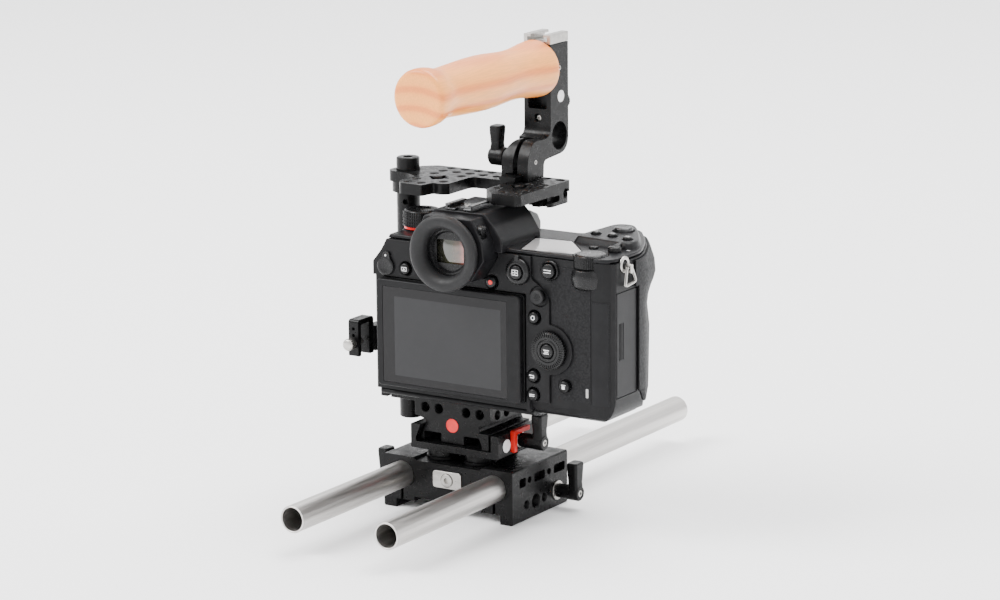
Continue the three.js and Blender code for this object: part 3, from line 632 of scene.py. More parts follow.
def quick_release():
    left, right, rear, front, bottom, top = span("clamp_tray")
    floor = bottom + 3.7
    section = [
        (left, bottom, 1), (right, bottom, 1), (right, top - 1, 0.8), (27.6, top - 1, 0.8),
        (27.6, floor), (-21.2, floor), (-21.2, 22), (-18, top - 0.6, 0.4), (left, top - 0.4, 1),
    ]
    body = softened(slab("Y", outline(section), rear, front), 0.35)
    tools = [bar("X", 3.1, 127, 23, 26.6, right + 1, 32)]
    tools.append(slab("X", rectangle(117.5, 136.5, 17.8, 22.4, 1), right - 1.2, right + 1))
    piece("clamp_tray_body", cut(body, *tools), LOOK["black"], "base", ANODISED, "clamp_tray")
    round_badge("tray_badge", "X", 3.7, 113.5, 22.3, right, 1, "base", "white")

    jaw = [(21.2, 20), (25.6, 20), (25.6, top - 1, 0.5), (18, top - 1, 0.5), (21.2, 22)]
    jaw_body = softened(slab("Y", outline(jaw), rear + 1, front - 1), 0.3)
    piece("clamp_jaw_body", cut(jaw_body, bar("X", 3.1, 127, 23, 17, 27, 32)), LOOK["black"], "tray_jaw",
        ANODISED, "clamp_jaw")

    x0, x1, y0, y1, z0, z1 = span("safety_catch")
    hook = [(y0, z0, 0.6), (y0 + 3.2, z0, 0.6), (y0 + 3.2, z1 - 2.6, 1), (y1, z1 - 2.6), (y1, z1),
        (y0, z1, 1.2)]
    piece("safety_catch_body", softened(slab("X", outline(hook), x0, x1), 0.3), LOOK["red"], "catch",
        CATCH, "safety_catch")


def quick_plate():
    _, half, rear, front, bottom, top = span("quick_plate")
    right = [(18.6, bottom), (20.8, bottom), (20.8, 22.2), (17.4, 30), (17.4, 31.6), (half, 33.6),
        (half, top - 1, 0.4), (half - 1, top, 0.4)]
    slot = [(7.4, bottom), (7.4, 25), (18.6, 25)]
    profile = slot + right
    section = profile + [(-x, z, *size) for x, z, *size in reversed(profile)]
    body = softened(slab("Y", outline(section), rear, front), 0.3)
    rim = slab("Y", outline([(-half + 2.4, top - 1.3), (half - 2.4, top - 1.3), (half - 2.4, top + 1),
        (-half + 2.4, top + 1)]), rear + 1.6, front - 1.6)
    tools = [slab("Z", rectangle(-3.4, 3.4, 120, 142, 3.3), bottom - 1, top + 1),
        block(-7, 7, 116, 146, bottom - 1, 33), rim]
    tools += [hole("Y", 2.75, x, 38.6, rear, rear + 8, pitch=1.1) for x in (-17.7, -8.9, 8.9, 17.7)]
    tools += [hole("X", 2.6, y, 37.6, half, half - 6, pitch=1.1) for y in (117.2, 126.5, 135.9, 144.3)]
    tools += [hole("X", 2.6, y, 37.6, -half, -half + 6, pitch=1.1) for y in (117.2, 126.5, 135.9, 144.3)]
    piece("quick_plate_body", cut(body, *tools), LOOK["black"], "carriage", ANODISED, "quick_plate")
    round_badge("plate_badge", "Y", 3.9, 0, 30.2, rear, -1, "carriage", "vermilion")
    pad = slab("Z", rectangle(-half + 3, half - 3, rear + 2.2, front - 2.2, 1), top - 1.2, top + 0.1)
    pad = cut(softened(pad, 0.15), slab("Z", rectangle(-4.4, 4.4, 118, 144, 4), top - 2, top + 1))
    piece("quick_plate_pad", pad, LOOK["rubber"], "carriage", RUBBER)
    x, y, _ = centre("camera_screw")
    low, high = span("camera_screw")[4:]
    head = turned("Z", [(0, low), (6, low), (6.4, low + 0.4), (6.4, low + 4.6), (6, low + 5),
        (2.9, low + 5), (2.9, high), (0, high)], x, y)
    slot_cut = block(x - 0.8, x + 0.8, y - 10, y + 10, low - 1, low + 1.6)
    piece("camera_screw_body", cut(head, slot_cut), LOOK["silver"], "carriage", STEEL, "camera_screw")


# ---- cage ----------------------------------------------------------------------------------------

GRID_X, GRID_Y, PITCH = -28.6, 111.6, 8.8
GRID_HOLES = [
    (0, 0), (1, 0), (0, 1), (2, 1), (0, 3), (2, 3), (0, 4), (1, 4), (2, 4), (3, 4), (4, 4),
    (0, 5), (1, 5), (2, 5), (3, 5), (4, 5), (7, 0), (8, 0), (6, 1), (8, 1), (7, 3), (8, 3), (7, 5), (8, 5),
]


def cage_plate():
    top = 163.3
    left = -30
    right, rear, front = span("cage_top_plate")[1:4]
    post_x, post_y, _ = centre("cage_post")
    foot = [
        (left, rear, 2.5), (left + 14.5, rear, 1), (left + 16, rear + 9, 2), (-9.2, rear + 8, 2),
        (-5.2, rear + 11, 1), (-5.2, 139.5, 4), (20, 139.5, 4), (20, rear + 9, 1.5), (29.5, rear, 1.5),
        (right - 2, rear, 1), (right, rear + 2, 1), (right, front, 2), (-40, front, 2),
        (post_x - 9, post_y + 3, 6),
        (post_x - 9, post_y - 8, 6), (post_x + 6, post_y - 10, 2), (-33, 126, 3), (-34, 112, 3),
    ]
    sheet = slab("Z", outline(foot), top - 6, top)
    collar = bar("Z", 8.8, post_x, post_y, top - 12, top, 72)
    boss = slab("Z", rectangle(31, right, 137, front, 5), top - 12, top - 5.5)
    rail = slab("Y", outline([(17.6, top - 0.4), (25.6, top - 0.4), (27, top + 3.4), (16.2, top + 3.4)]),
        133, 158)
    body = cut(
        join(sheet, collar, boss, rail),
        bar("Z", 6.8, post_x, post_y, top - 20, top + 5, 72),
        block(post_x - 1, post_x + 1, post_y, front + 1, top - 20, top + 5),
    )
    body = softened(body, 0.55)
    tools = []
    for column, row in GRID_HOLES:
        tools.append(hole("Z", 2.4, GRID_X + column * PITCH, GRID_Y + row * PITCH, top, top - 13, pitch=1,
            rim=0.5))
    for column in (1, 7):
        x, y = GRID_X + column * PITCH, GRID_Y + 2 * PITCH
        tools.append(hole("Z", 4.6, x, y, top, top - 13, pitch=1.2, rim=0.6))
        tools.append(slab("Z", rectangle(x - 6.6, x + 6.6, y - 1.1, y + 1.1, 1), top - 1.4, top + 1))
        tools.append(slab("Z", rectangle(x - 1.1, x + 1.1, y - 6.6, y + 6.6, 1), top - 1.4, top + 1))
    tools.append(hole("X", 2.7, 154.5, top - 6.6, right, right - 8, pitch=1))
    tools.append(slab("X", rectangle(134, 147.5, top - 9.8, top - 6.4, 1.6), right - 3, right + 1))
    piece("cage_top_plate_body", cut(body, *tools), LOOK["black"], "cage_top", ANODISED, "cage_top_plate")
    socket_screw("collar_clamp_screw", "Y", 2.2, post_x + 4.6, top - 6, front - 0.6, 1, "cage_top")


def cage_post():
    x, y, _ = centre("cage_post")
    low, high = span("cage_post")[4:]
    profile = [(0, low), (5.9, low), (6.5, low + 0.6), (6.5, high - 0.6), (5.9, high), (2.9, high),
        (2.5, high - 0.4), (2.5, high - 13), (0, high - 13)]
    tube = cut(turned("Z", profile, x, y, 72), bar("Y", 1.6, x + 2, 146, y - 8, y - 4, 24))
    piece("cage_post_body", tube, LOOK["black"], "carriage", ANODISED, "cage_post")
    rear = span("cage_base_bar")[2]
    low, high = span("cage_base_bar")[4:]
    foot = [(-24.8, rear, 1), (-24.8, 145, 1), (-40, 151, 4), (-56, 151, 5), (-58, 136, 4),
        (-54.6, rear, 1.5)]
    body = softened(slab("Z", outline(foot), low, high), 0.4)
    tools = [bar("Z", 6.8, x, y, low - 1, high + 1, 72),
        block(-50.2, -47.4, rear - 1, y, low - 1, high + 1)]
    tools += [hole("Z", 2.4, px, py, high, low - 1, pitch=1) for px, py in ((-31, 127), (-31, 139))]
    piece("cage_base_bar_body", cut(body, *tools), LOOK["black"], "carriage", ANODISED, "cage_base_bar")


# ---- top handle ------------------------------------------------------------------------------------


def handle():
    left, right, _, front, foot, top = span("handle_post")
    rear, cage_top = 165, 163.3
    column = [
        (rear, 186, 5), (rear, top), (front, top), (front, 174.5, 9), (158, 172.6, 3), (157.5, foot),
        (141, foot), (141, 176, 5), (147, 185, 6), (159, 184, 4),
    ]
    body = slab("X", outline(column, 12), left, right)
    body = cut(
        body,
        block(17, 26.2, 139, 159.5, foot - 1, cage_top + 3.8),
        block(left - 1, 23.3, 139, 159.5, foot - 1, 190),
    )
    body = softened(body, 0.45)
    body = cut(
        body,
        bar("X", 7.5 + GAP, 174, 184, left - 1, right + 1, 72),
        slab("Y", rectangle(15.6, 27.4, 199.4, 206.4, 1.4), rear - 1, rear + 7),
        bar("Y", 3.3, 20.5, 221.8, rear - 1, front - 4, 32),
        hole("Y", 2.2, 21.4, 194.2, rear, rear + 5, pitch=0.9),
        bar("Y", 2.4, 20.5, 200, front - 6, front + 1, 32),
        slab("Y", outline([(23, foot - 1), (25.9, foot - 1), (27.4, cage_top + 3.8),
        (23, cage_top + 3.8)]), 139, 159),
    )
    piece("handle_post_body", body, LOOK["black"], "handle", ANODISED, "handle_post")
    round_badge("handle_badge", "X", 3.3, 175.6, 205.6, right, 1, "handle", "white")
    for name, y, z in (("lower", 149.4, 173), ("upper", 174.6, 221.4)):
        socket_screw(f"handle_set_screw_{name}", "X", 1.5, y, z, right - 0.2, 1, "handle")
    socket_screw("handle_lock_screw", "Y", 1.7, 21.4, 194.2, rear + 2, -1, "handle")

    hook = [(13.2, foot), (17, foot), (15.65, cage_top + 3.9), (20.4, cage_top + 4.1), (20.4, 184.6, 2),
        (17, 184.6, 3), (13.2, 178, 1.5)]
    side = [(141, foot - 1), (157.3, foot - 1), (157.3, 184.6, 3), (148, 184.6, 6), (141, 176, 5)]
    jaw = softened(keep(slab("Y", outline(hook), 141, 157.3), slab("X", outline(side, 12), 12, 22)), 0.4)
    jaw = cut(jaw, bar("X", 2.3, 149, WING_Z, 12, 22, 32))
    piece("handle_jaw_body", jaw, LOOK["black"], "handle_clamp_jaw", ANODISED, "handle_jaw")
    wing_lever()
    grip_and_shoe(rear, front, top)


WING_Z = 174.5  # height of the handle lever's axis


def wing_lever():
    """The handle's clamp lever: a domed barrel and a waisted upright tab."""
    y, z = 149, WING_Z
    x0 = span("handle_lever")[0]
    barrel = turned("X", [(0, x0), (4.2, x0), (5.2, x0 + 1), (5.3, x0 + 8), (4.9, x0 + 9.4),
        (0, x0 + 9.4)], y, z, 48)
    middle = x0 + 3.9
    stations = [
        (0, 4.6, 6.6), (4, 3.9, 6.0), (7, 3.5, 5.6), (10, 3.7, 6.0), (13, 4.0, 6.4), (16, 4.1, 6.5),
        (16.7, 3.9, 6.2),
        (17, 3.5, 5.7),
    ]
    loops = []
    for rise, half_width, depth in stations:
        ring = rectangle(y - half_width, y + half_width, middle - depth / 2, middle + depth / 2, 1.8)
        loops.append([(w, u, z + rise) for u, w in ring])
    stud = bar("X", 1.9, y, z, x0 + 9, 20, 24)
    piece("handle_lever_body", join(barrel, loft(loops), stud), LOOK["black"], "handle_clamp_lever",
        ANODISED, "handle_lever")


def grip_and_shoe(rear, front, top):
    x, y0, z = centre("wood_grip")[0], span("wood_grip")[2], centre("wood_grip")[2]
    length, radius = rear - GAP - y0, 15.7
    stations = [
        (0.003, 0.92), (0.009, 0.965), (0.02, 0.992), (0.036, 1), (0.06, 0.995), (0.085, 0.97),
        (0.11, 0.925),
        (0.14, 0.875), (0.175, 0.852), (0.22, 0.86), (0.28, 0.884), (0.35, 0.91), (0.43, 0.936),
        (0.51, 0.945),
        (0.58, 0.93), (0.65, 0.895), (0.71, 0.867), (0.77, 0.86), (0.83, 0.88), (0.88, 0.92), (0.93, 0.968),
        (0.97, 0.994), (0.99, 1), (1, 0.985),
    ]
    skin = [(radius * k, y0 + length * t) for t, k in stations]
    wood = turned("Y", [(0, y0), (radius * 0.8, y0), (radius * 0.87, y0 + 0.08), *skin, (0, y0 + length)],
        x, z, 96)
    piece("wood_grip_body", wood, LOOK["maple"], "handle", "maple", "wood_grip", crease=80)

    left, right, low, high = 13, 30, top + GAP, span("accessory_shoe")[5]
    section = [
        (left, low), (right, low), (right, high, 0.5), (right - 4.6, high, 0.5),
        (right - 4.6, low + 3.6, 0.3),
        (right - 2.2, low + 3.6), (right - 2.2, low + 1.6), (left + 2.2, low + 1.6),
        (left + 2.2, low + 3.6),
        (left + 4.6, low + 3.6, 0.3), (left + 4.6, high, 0.5), (left, high, 0.5),
    ]
    shoe = softened(slab("Y", outline(section, 3), rear, front), 0.2)
    shoe = cut(shoe, block(left + 4.4, right - 4.4, rear - 1, rear + 3, low + 0.9, high + 1))
    piece("accessory_shoe_body", shoe, LOOK["silver"], "handle", BRIGHT, "accessory_shoe")
    socket_screw("accessory_shoe_screw", "Z", 2.4, x, (rear + front) / 2 + 2, low + 1.7, 1, "handle")

    face = front + GAP
    rim = slab("Y", toothed(x, 200, 4.6, 0.35, 28), face + 4, face + 10)
    knob = join(rim, turned("Y", [
        (0, face - 5), (2, face - 5), (2, face), (3, face), (3, face + 3.4), (4.1, face + 4),
        (4.1, face + 10.4),
        (3.4, face + 11.4), (0, face + 11.8),
    ], x, 200, 48))
    piece("handle_knob_body", softened(knob, 0.12, 1), LOOK["black"], "handle_screw", ANODISED,
        "handle_knob")


# ---- cable clamp -------------------------------------------------------------------------------------


def cable_clamp():
    side = [
        (97, 65, 0.8), (99.8, 65, 0.8), (99.8, 82.7, 1.2), (107.5, 82.7, 1.2), (107.5, 64.7, 1),
        (112, 64.7, 1), (112, 85.5, 2), (97, 85.5, 2),
    ]
    post_x, post_y, _ = centre("cage_post")
    hook = slab("X", outline(side), -59.4, -53)
    arm, saddle = block(-57, -51, 111, 136, 66, 80), block(-59, -46, 134, 148, 66, 80)
    body = softened(cut(join(hook, arm, saddle), bar("Z", 6.8, post_x, post_y, 60, 90, 72)), 0.4)
    x, _, z = centre("cable_screw")
    tools = [hole("Y", 2.2, x, z, 97, 101, rim=0.2)]
    tools += [hole("Y", 0.9, -56.2, height, 97, 101, rim=0.2) for height in (76.6, 80.4)]
    piece("cable_bracket_body", cut(body, *tools), LOOK["black"], "carriage", ANODISED, "cable_bracket")
    rear = span("cable_screw")[2]
    head = slab("Y", toothed(x, z, 3.3, 0.3, 24), rear + 0.5, rear + 4.8)
    shank = turned("Y", [(0, rear), (2.5, rear), (2.9, rear + 0.5), (2.9, rear + 4.8), (1.9, rear + 4.8),
        (1.9, 104), (0, 104)], x, z, 40)
    piece("cable_screw_body", softened(join(head, shank), 0.1, 1), LOOK["silver"], "cable_thumb_screw",
        BRIGHT, "cable_screw")


# ---- camera body ----------------------------------------------------------------------------------------

LEFT, RIGHT, REAR, FRONT = -40.5, 110.5, 93.5, 150
AXIS, THUMB_REAR, SPLIT = 18, 95.0, 98.2
SHELL_LOW, SHELL_HIGH = 49.7, 134.5


def grip_swell(z):
    """How far the hand grip's side stands out at a height: finger shelf, waist and rounded foot."""
    levels = [(46.4, -7), (49, -4), (53, -1.5), (58, 0), (90, 0.6), (103, -1), (109, 0), (113, 1.6),
        (117, 3.6), (120, 4.6), (126, 4), (130, 2.4), (134.5, 0)]
    for (z0, a), (z1, b) in zip(levels, levels[1:]):
        if z <= z1:
            t = max(0, (z - z0) / (z1 - z0))
            return a + (b - a) * t * t * (3 - 2 * t)
    return levels[-1][1]


def body_plan(z, inset=0):
    out = grip_swell(z)
    left, right, front = LEFT + inset, RIGHT - inset, FRONT - inset
    return outline([
        (left, SPLIT + GAP), (right, SPLIT + GAP), (right, 127, 10), (98 - inset + out, 152, 9),
        (82 + out * 0.7, 176 - inset + out * 0.3, 10), (66, 172 - inset, 6), (61, front, 5),
        (left, front, 8),
    ], 10)


def case_trims():
    """Cutters for the body's outside corners: the sloping left shoulder and the rounded-off foot."""
    shoulder = slab("Y", [(LEFT - 6, 119), (LEFT, 120.5), (-34.3, 128.2), (-28, 139.5), (-28, 160),
        (LEFT - 6, 160)], 79, 170)
    corner = slab("Y",
        outline([(97, 46.3, 4), (104.5, 48.6, 8), (109.2, 54, 8), (RIGHT, 62), (130, 62), (130, 40),
        (97, 40)]), 79, 190)
    heel = slab("X",
        outline([(THUMB_REAR - 0.4, 56), (96.6, 51.2, 4), (101, 47.6, 4), (108, 46.2), (108, 38), (85, 38),
        (85, 56)]), 60, 130)
    return shoulder, corner, heel


def cavity(inset=0):
    """The front shell's hollow seen along Y, with its corner cut off under the sloping shoulder."""
    low, high, right = SHELL_LOW + 3 + inset, SHELL_HIGH - 3 - inset, 68 - inset
    return [
        (LEFT + 3 + inset, low), (right, low), (right, high),
        (-28.6 + inset, high), (-31.2 + inset, 126 - inset), (LEFT + 3 + inset, 116.6 - inset),
    ]


def grip_skin():
    """The pebbled covering of the hand grip, from behind the card door round to the lens side."""
    rings = []
    for z in (54, 57, 60, 75, 90, 97, 103, 106, 109, 111, 113, 115, 117, 118.5, 120, 123, 126, 128, 130,
            132, 133.4):
        path = body_plan(z)[2:57]
        rings.append([(x, y, z) for x, y in band(band(path, -0.45)[:-len(path) - 1:-1][::-1], 0.9)])
    return loft(rings)


def front_case():
    heights = [SHELL_LOW, 51, 53, 56, 60, 75, 90, 97, 103, 106, 109, 111, 113, 115, 117, 118.5, 120, 123,
        126, 128, 130, 132, SHELL_HIGH]
    shell = loft([[(x, y, z) for x, y in body_plan(z)] for z in heights])
    hollow = slab("Y", cavity(), SPLIT - 1, FRONT - 3)
    x, _, z = centre("lens_mount")
    throat = bar("Y", 24.5, x, z, FRONT - 4, FRONT + 1, 72)
    bay = block(74.6, 100.6, 112.4, 148.6, SHELL_LOW - 1, 116)
    _, door_out, door_rear, door_front, door_low, door_high = span("card_door")
    doorway = block(door_out - 3.1, door_out + 8, door_rear - GAP, door_front + GAP, door_low - GAP,
        door_high + GAP)
    dial_x, dial_y, _ = centre("rear_dial")
    well = bar("Z", 9.6, dial_x, dial_y, 130.6, SHELL_HIGH + 1)
    body = cut(shell, hollow, throat, bay, doorway, well, *case_trims())
    pin_y = 109
    lug = softened(slab("X",
        outline([(pin_y - 1.2, 128.4, 0.8), (pin_y + 1.2, 128.4, 0.8), (pin_y + 1.2, 133.2, 0.9),
        (pin_y - 1.2, 133.2, 0.9)]), RIGHT - 1, 114.2), 0.2)
    lug = cut(lug, bar("Y", 1.5, 112.4, 131, pin_y - 3, pin_y + 3, 24))
    piece("front_shell_body", body, LOOK["body"], "carriage", BODY, "front_shell")
    skin = cut(grip_skin(), *case_trims(), block(door_out - 4, door_out + 8, door_rear - 1,
        door_front + 0.8, door_low - 1, door_high + 1))
    piece("hand_grip_skin", skin, LOOK["leather"], "carriage", RUBBER, crease=35)
    piece("strap_lug", lug, LOOK["silver"], "carriage", STEEL)
    eye = turned("X", [(2.6, RIGHT - 0.5), (4.4, RIGHT - 0.5), (4.4, RIGHT + 0.2), (4.1, RIGHT + 0.5),
        (3, RIGHT + 0.5), (2.6, RIGHT + 0.2)], pin_y - 1.5, 133, 40)
    piece("strap_lug_escutcheon", eye, LOOK["silver"], "carriage", STEEL)
    roll = turned("Z", [(0, 119.5), (8.6, 119.5), (10.4, 121.4), (10.9, 126), (10.2, 129.6), (9.4, 130.3),
        (0, 130.3)], dial_x, dial_y, 64)
    roll = cut(roll, block(dial_x - 20, dial_x + 20, THUMB_REAR + 1.5, dial_y + 20, 110, 140))
    piece("thumb_dial_pedestal", roll, LOOK["control"], "carriage", CONTROL)


def strip_outline():
    """The raised control strip: beside the screen, swelling into a guard round the control dial."""
    x, z = centre("control_dial")[0], centre("control_dial")[2]
    guard = 13.6
    reach = math.sqrt(guard ** 2 - (72.4 - x) ** 2)
    arc = []
    for k in range(25):
        angle = -math.pi / 2 + math.pi * k / 24
        arc.append((x + guard * math.cos(angle), z + guard * math.sin(angle)))
    lower = [(LEFT + 0.5, SHELL_LOW), (72.4, SHELL_LOW, 2), (72.4, z - reach - 0.5, 1)]
    upper = [(72.4, z + reach + 0.5, 1), (72.4, 113, 3), (66, 119.5, 4), (61, 122.5, 3), (61, 134.4),
        (LEFT + 0.5, 134.4)]
    return outline(lower + arc + upper)


def rear_buttons():
    """Each button's node and its mark loops relative to the button's centre; None for the button with a red
    dot.
    """
    bars = [rectangle(-1.5, 1.5, -0.75, -0.35), rectangle(-1.5, 1.5, 0.1, 0.5)]
    return {
        "record_button": None,
        "af_on_button": [rectangle(-2.2, 2.2, -0.9, -0.5), rectangle(-2.2, 2.2, 0.4, 0.8)],
        "quick_menu_button": [band([(math.cos(a / 8 * math.pi) * 1.25,
        math.sin(a / 8 * math.pi) * 1.25) for a in range(17)], 0.45)],
        "back_button": [rectangle(-1.2, 1.1, -0.9, -0.45), rectangle(0.7, 1.15, -0.6, 0.6),
        rectangle(-1.2, 1.1, 0.35, 0.8), outline([(-1.9, 0.58), (-1.1, 0), (-1.1, 1.15)])],
        "display_button": bars,
        "delete_button": [rectangle(-0.9, 0.9, -1.3, 0.5, 0.3), rectangle(-1.3, 1.3, 0.75, 1.1)],
        "playback_button": [band([(-1.6, -1.1), (1.6, -1.1), (1.6, 1.1), (-1.6, 1.1), (-1.6, -1.0)], 0.35),
        outline([(-0.5, -0.6), (0.7, 0), (-0.5, 0.6)])],
    }


def rear_case():
    low, high = SHELL_LOW, SHELL_HIGH
    plan = outline([
        (LEFT, THUMB_REAR + 1.5, 1.5), (LEFT + 1.5, THUMB_REAR, 1), (RIGHT - 9.5, THUMB_REAR, 6),
        (RIGHT, THUMB_REAR + 4.6, 4), (RIGHT, SPLIT), (LEFT, SPLIT),
    ], 10)
    shell = slab("Z", plan, low, high)
    strip = softened(slab("Y", strip_outline(), REAR, SPLIT - 1), 0.7, 3)
    case = join(shell, strip)
    _, screen_right, _, screen_front, _, screen_top = span("monitor_frame")
    tools = [block(LEFT - 1, screen_right + 1.6, REAR - 3, screen_front + 0.6, low - 1, screen_top + 0.8)]
    tools.append(slab("Y", viewfinder_outline(0.4), REAR - 3, SPLIT + 1))
    tools.append(block(AXIS - 17, AXIS + 17, REAR - 3, SPLIT + 1, 130, high + 1))
    for node in rear_buttons():
        x, _, z = centre(node)
        radius = (span(node)[1] - span(node)[0]) / 2
        dish = [(0, REAR - 2), (radius + 3.6, REAR - 2), (radius + 0.5, REAR + 1.1),
            (radius + 0.35, REAR + 3.4), (0, REAR + 3.4)]
        tools.append(turned("Y", dish, x, z, 40))
    for node, radius in (("control_dial", 4.2), ("joystick", 3.4), ("af_mode_lever", 4.2)):
        x, _, z = centre(node)
        if node == "af_mode_lever":
            z = centre("af_mode_button")[2]
        tools.append(bar("Y", radius, x, z, REAR - 1, REAR + 3.4, 40))
    x, _, z = centre("joystick")
    tools.append(turned("Y", [(0, REAR - 1), (6.6, REAR - 1), (5.2, REAR + 0.9), (0, REAR + 0.9)], x, z,
        40))
    dial_x, dial_y, _ = centre("rear_dial")
    tools.append(bar("Z", 9.6, dial_x, dial_y, 130.6, high + 1))
    tools.append(slab("Y",
        outline([(LEFT - 1, 124), (LEFT + 1, 124), (LEFT + 8, 131), (LEFT + 8, 136), (LEFT - 1, 136)]),
        REAR - 3, REAR + 1.5))
    shoulder, corner, heel = case_trims()
    piece("rear_shell_body", cut(case, *tools, shoulder, corner, heel), LOOK["body"], "carriage", BODY,
        "rear_shell")

    path = [(x, y - 0.25) for x, y in plan if x > 72.8 and y < SPLIT - 0.2]
    path = [(73.0, THUMB_REAR - 0.25), *path]
    seam = 97.2
    left_part = [point for point in path if point[0] < seam] + [(seam, THUMB_REAR - 0.25)]
    right_part = [(seam + 0.5, THUMB_REAR - 0.25)] + [point for point in path if point[0] > seam + 0.5]
    skin = slab("Z", band(left_part, 0.9), 58.5, 130.5)
    wrap = cut(slab("Z", band(right_part, 0.9), 57.5, 113.4), corner)
    piece("card_door_wrap", wrap, LOOK["cover"], "carriage", BODY)
    around = slab("Y", strip_outline(), REAR - 2, SPLIT)
    x, _, z = centre("delete_button")
    button = bar("Y", 4.6, x, z, REAR - 2, SPLIT, 40)
    x, _, z = centre("af_on_button")
    af_ring = bar("Y", 5.6, x, z, REAR - 2, SPLIT, 40)
    piece("thumb_rest_skin", cut(skin, around, button, af_ring), LOOK["leather"], "carriage", RUBBER,
        crease=35)
    sticker = slab("Y", rectangle(94.3, 95.8, 61.5, 66.4, 0.4), THUMB_REAR - 0.4, THUMB_REAR + 0.4)
    piece("terminal_label", sticker, LOOK["window"], "carriage", BODY)
    af_mount = turned("Y", [(4.3, REAR + 2), (5.9, REAR + 2), (5.5, REAR + 0.1), (4.9, REAR - 0.4),
        (4.3, REAR)], *(centre("af_on_button")[0::2]), 48)
    piece("af_on_bezel", af_mount, LOOK["control"], "carriage", CONTROL)


def viewfinder_outline(grow=0.0, rounding=0.0):
    half = [(14 + grow, 119.5 - grow), (22.4 + grow, 131.8), (21 + grow, 141.4), (15 + grow, 153.5 + grow)]
    right = [(AXIS + x, z, rounding) for x, z in half]
    left = [(AXIS - x, z, rounding) for x, z in reversed(half)]
    return outline(right + left)


def top_case():
    base, top, rear = SHELL_HIGH + GAP, 137, REAR
    plan = outline([
        (LEFT + 5, rear + 1.5, 2), (RIGHT - 5, rear + 1.5, 4), (RIGHT - 1, 100, 3), (RIGHT - 1, 127, 8),
        (98, 151, 8), (82, 174, 9), (67, 170, 5), (61, 149, 5), (LEFT + 6, 149, 8), (LEFT + 1, 138, 4),
        (LEFT + 1, rear + 6, 3),
    ], 10)
    roof = softened(slab("Z", plan, base, top), 0.8, 3)
    housing = softened(slab("Y", viewfinder_outline(), 80, SPLIT), 0.7, 3)
    hump_outline = outline([
        (AXIS - 27, base), (AXIS + 27, base), (AXIS + 26.4, 141.2, 1.5), (AXIS + 21, 149.4, 2),
        (AXIS + 15.5, 155, 1.5),
        (AXIS - 15.5, 155, 1.5), (AXIS - 21, 149.4, 2), (AXIS - 26.4, 141.2, 1.5),
    ])
    hump = softened(slab("Y", hump_outline, 91, 130), 0.7, 3)
    nose_sections = []
    for y, half, height in ((128, 17, 150), (140, 15, 148.5), (150, 13, 145), (154, 12, 141)):
        nose_sections.append([(AXIS + u, y, v) for u,
            v in rectangle(-half, half, base - base, height - base, 2)])
    nose = loft([[(x, y, v + base) for x, y, v in section] for section in nose_sections])
    deck_loops = []
    for height, grow in ((top - 0.5, 1.6), (140.4 - 0.8, 0.2), (140.4, -0.5)):
        deck = outline([(68 - grow, 128 - grow, 3), (103 + grow, 124 - grow, 4), (104 + grow, 134, 8),
            (94 + grow, 150 + grow, 8), (82, 168 + grow, 8), (71 - grow, 166, 6)], 8)
        deck_loops.append([(x, y, height) for x, y in deck])
    dial_x, dial_y, _ = centre("rear_dial")
    shutter = centre("shutter_button")
    whole = join(roof, housing, hump, nose, loft(deck_loops))
    tools = [bar("Y", 12.6, AXIS, 134.7, 79, 93, 64), bar("Z", 9.6, dial_x, dial_y, base - 1, top + 1)]
    tools.append(turned("Z", [(0, 136), (5.6, 136), (5.6, 139.2), (7.4, 141.5), (0, 141.5)], shutter[0],
        shutter[1], 48))
    for node in ("white_balance_button", "iso_button", "exposure_button"):
        x, y, _ = centre(node)
        tools.append(turned("Z", [(0, 137.3), (2.9, 137.3), (2.9, 139.9), (4.2, 141.2), (0, 141.2)], x, y,
            32))
    tools.append(slab("Z", outline([(52.5, 96.9), (90.5, 101.6), (66.1, 128.5), (43.7, 126.1)]), top - 0.5,
        top + 1))
    tools.append(slab("X", rectangle(81.6, 87.8, 143, 151, 1.5), AXIS + 18.4, AXIS + 30))
    piece("top_cover_body", cut(whole, *tools, case_trims()[0]), LOOK["cover"], "carriage", BODY,
        "top_cover")

    window = softened(slab("Z",
        outline([(53, 97.3, 1), (89.6, 101.9, 1), (65.9, 128.1, 1), (44.3, 125.7, 1)]), top - 0.7,
        top - 0.1), 0.15, 1)
    dial_x, dial_y, _ = centre("rear_dial")
    beside_dial = bar("Z", 9.9, dial_x, dial_y, top - 2, top + 1)
    piece("status_window", cut(window, beside_dial), LOOK["window"], "carriage", GLASS)
    lamp = turned("Z", [(0, top - 1), (2.6, top - 1), (2.6, top + 0.8), (2.2, top + 1.2), (0, top + 1.2)],
        85.3, 118.1, 36)
    piece("backlight_button", lamp, LOOK["control"], "carriage", CONTROL)
    knob = turned("X", [(0, AXIS + 15), (2.7, AXIS + 15), (2.7, AXIS + 19.6), (2.3, AXIS + 20),
        (0, AXIS + 20)], 84.6, 147.5, 36)
    piece("diopter_dial", knob, LOOK["control"], "carriage", CONTROL)


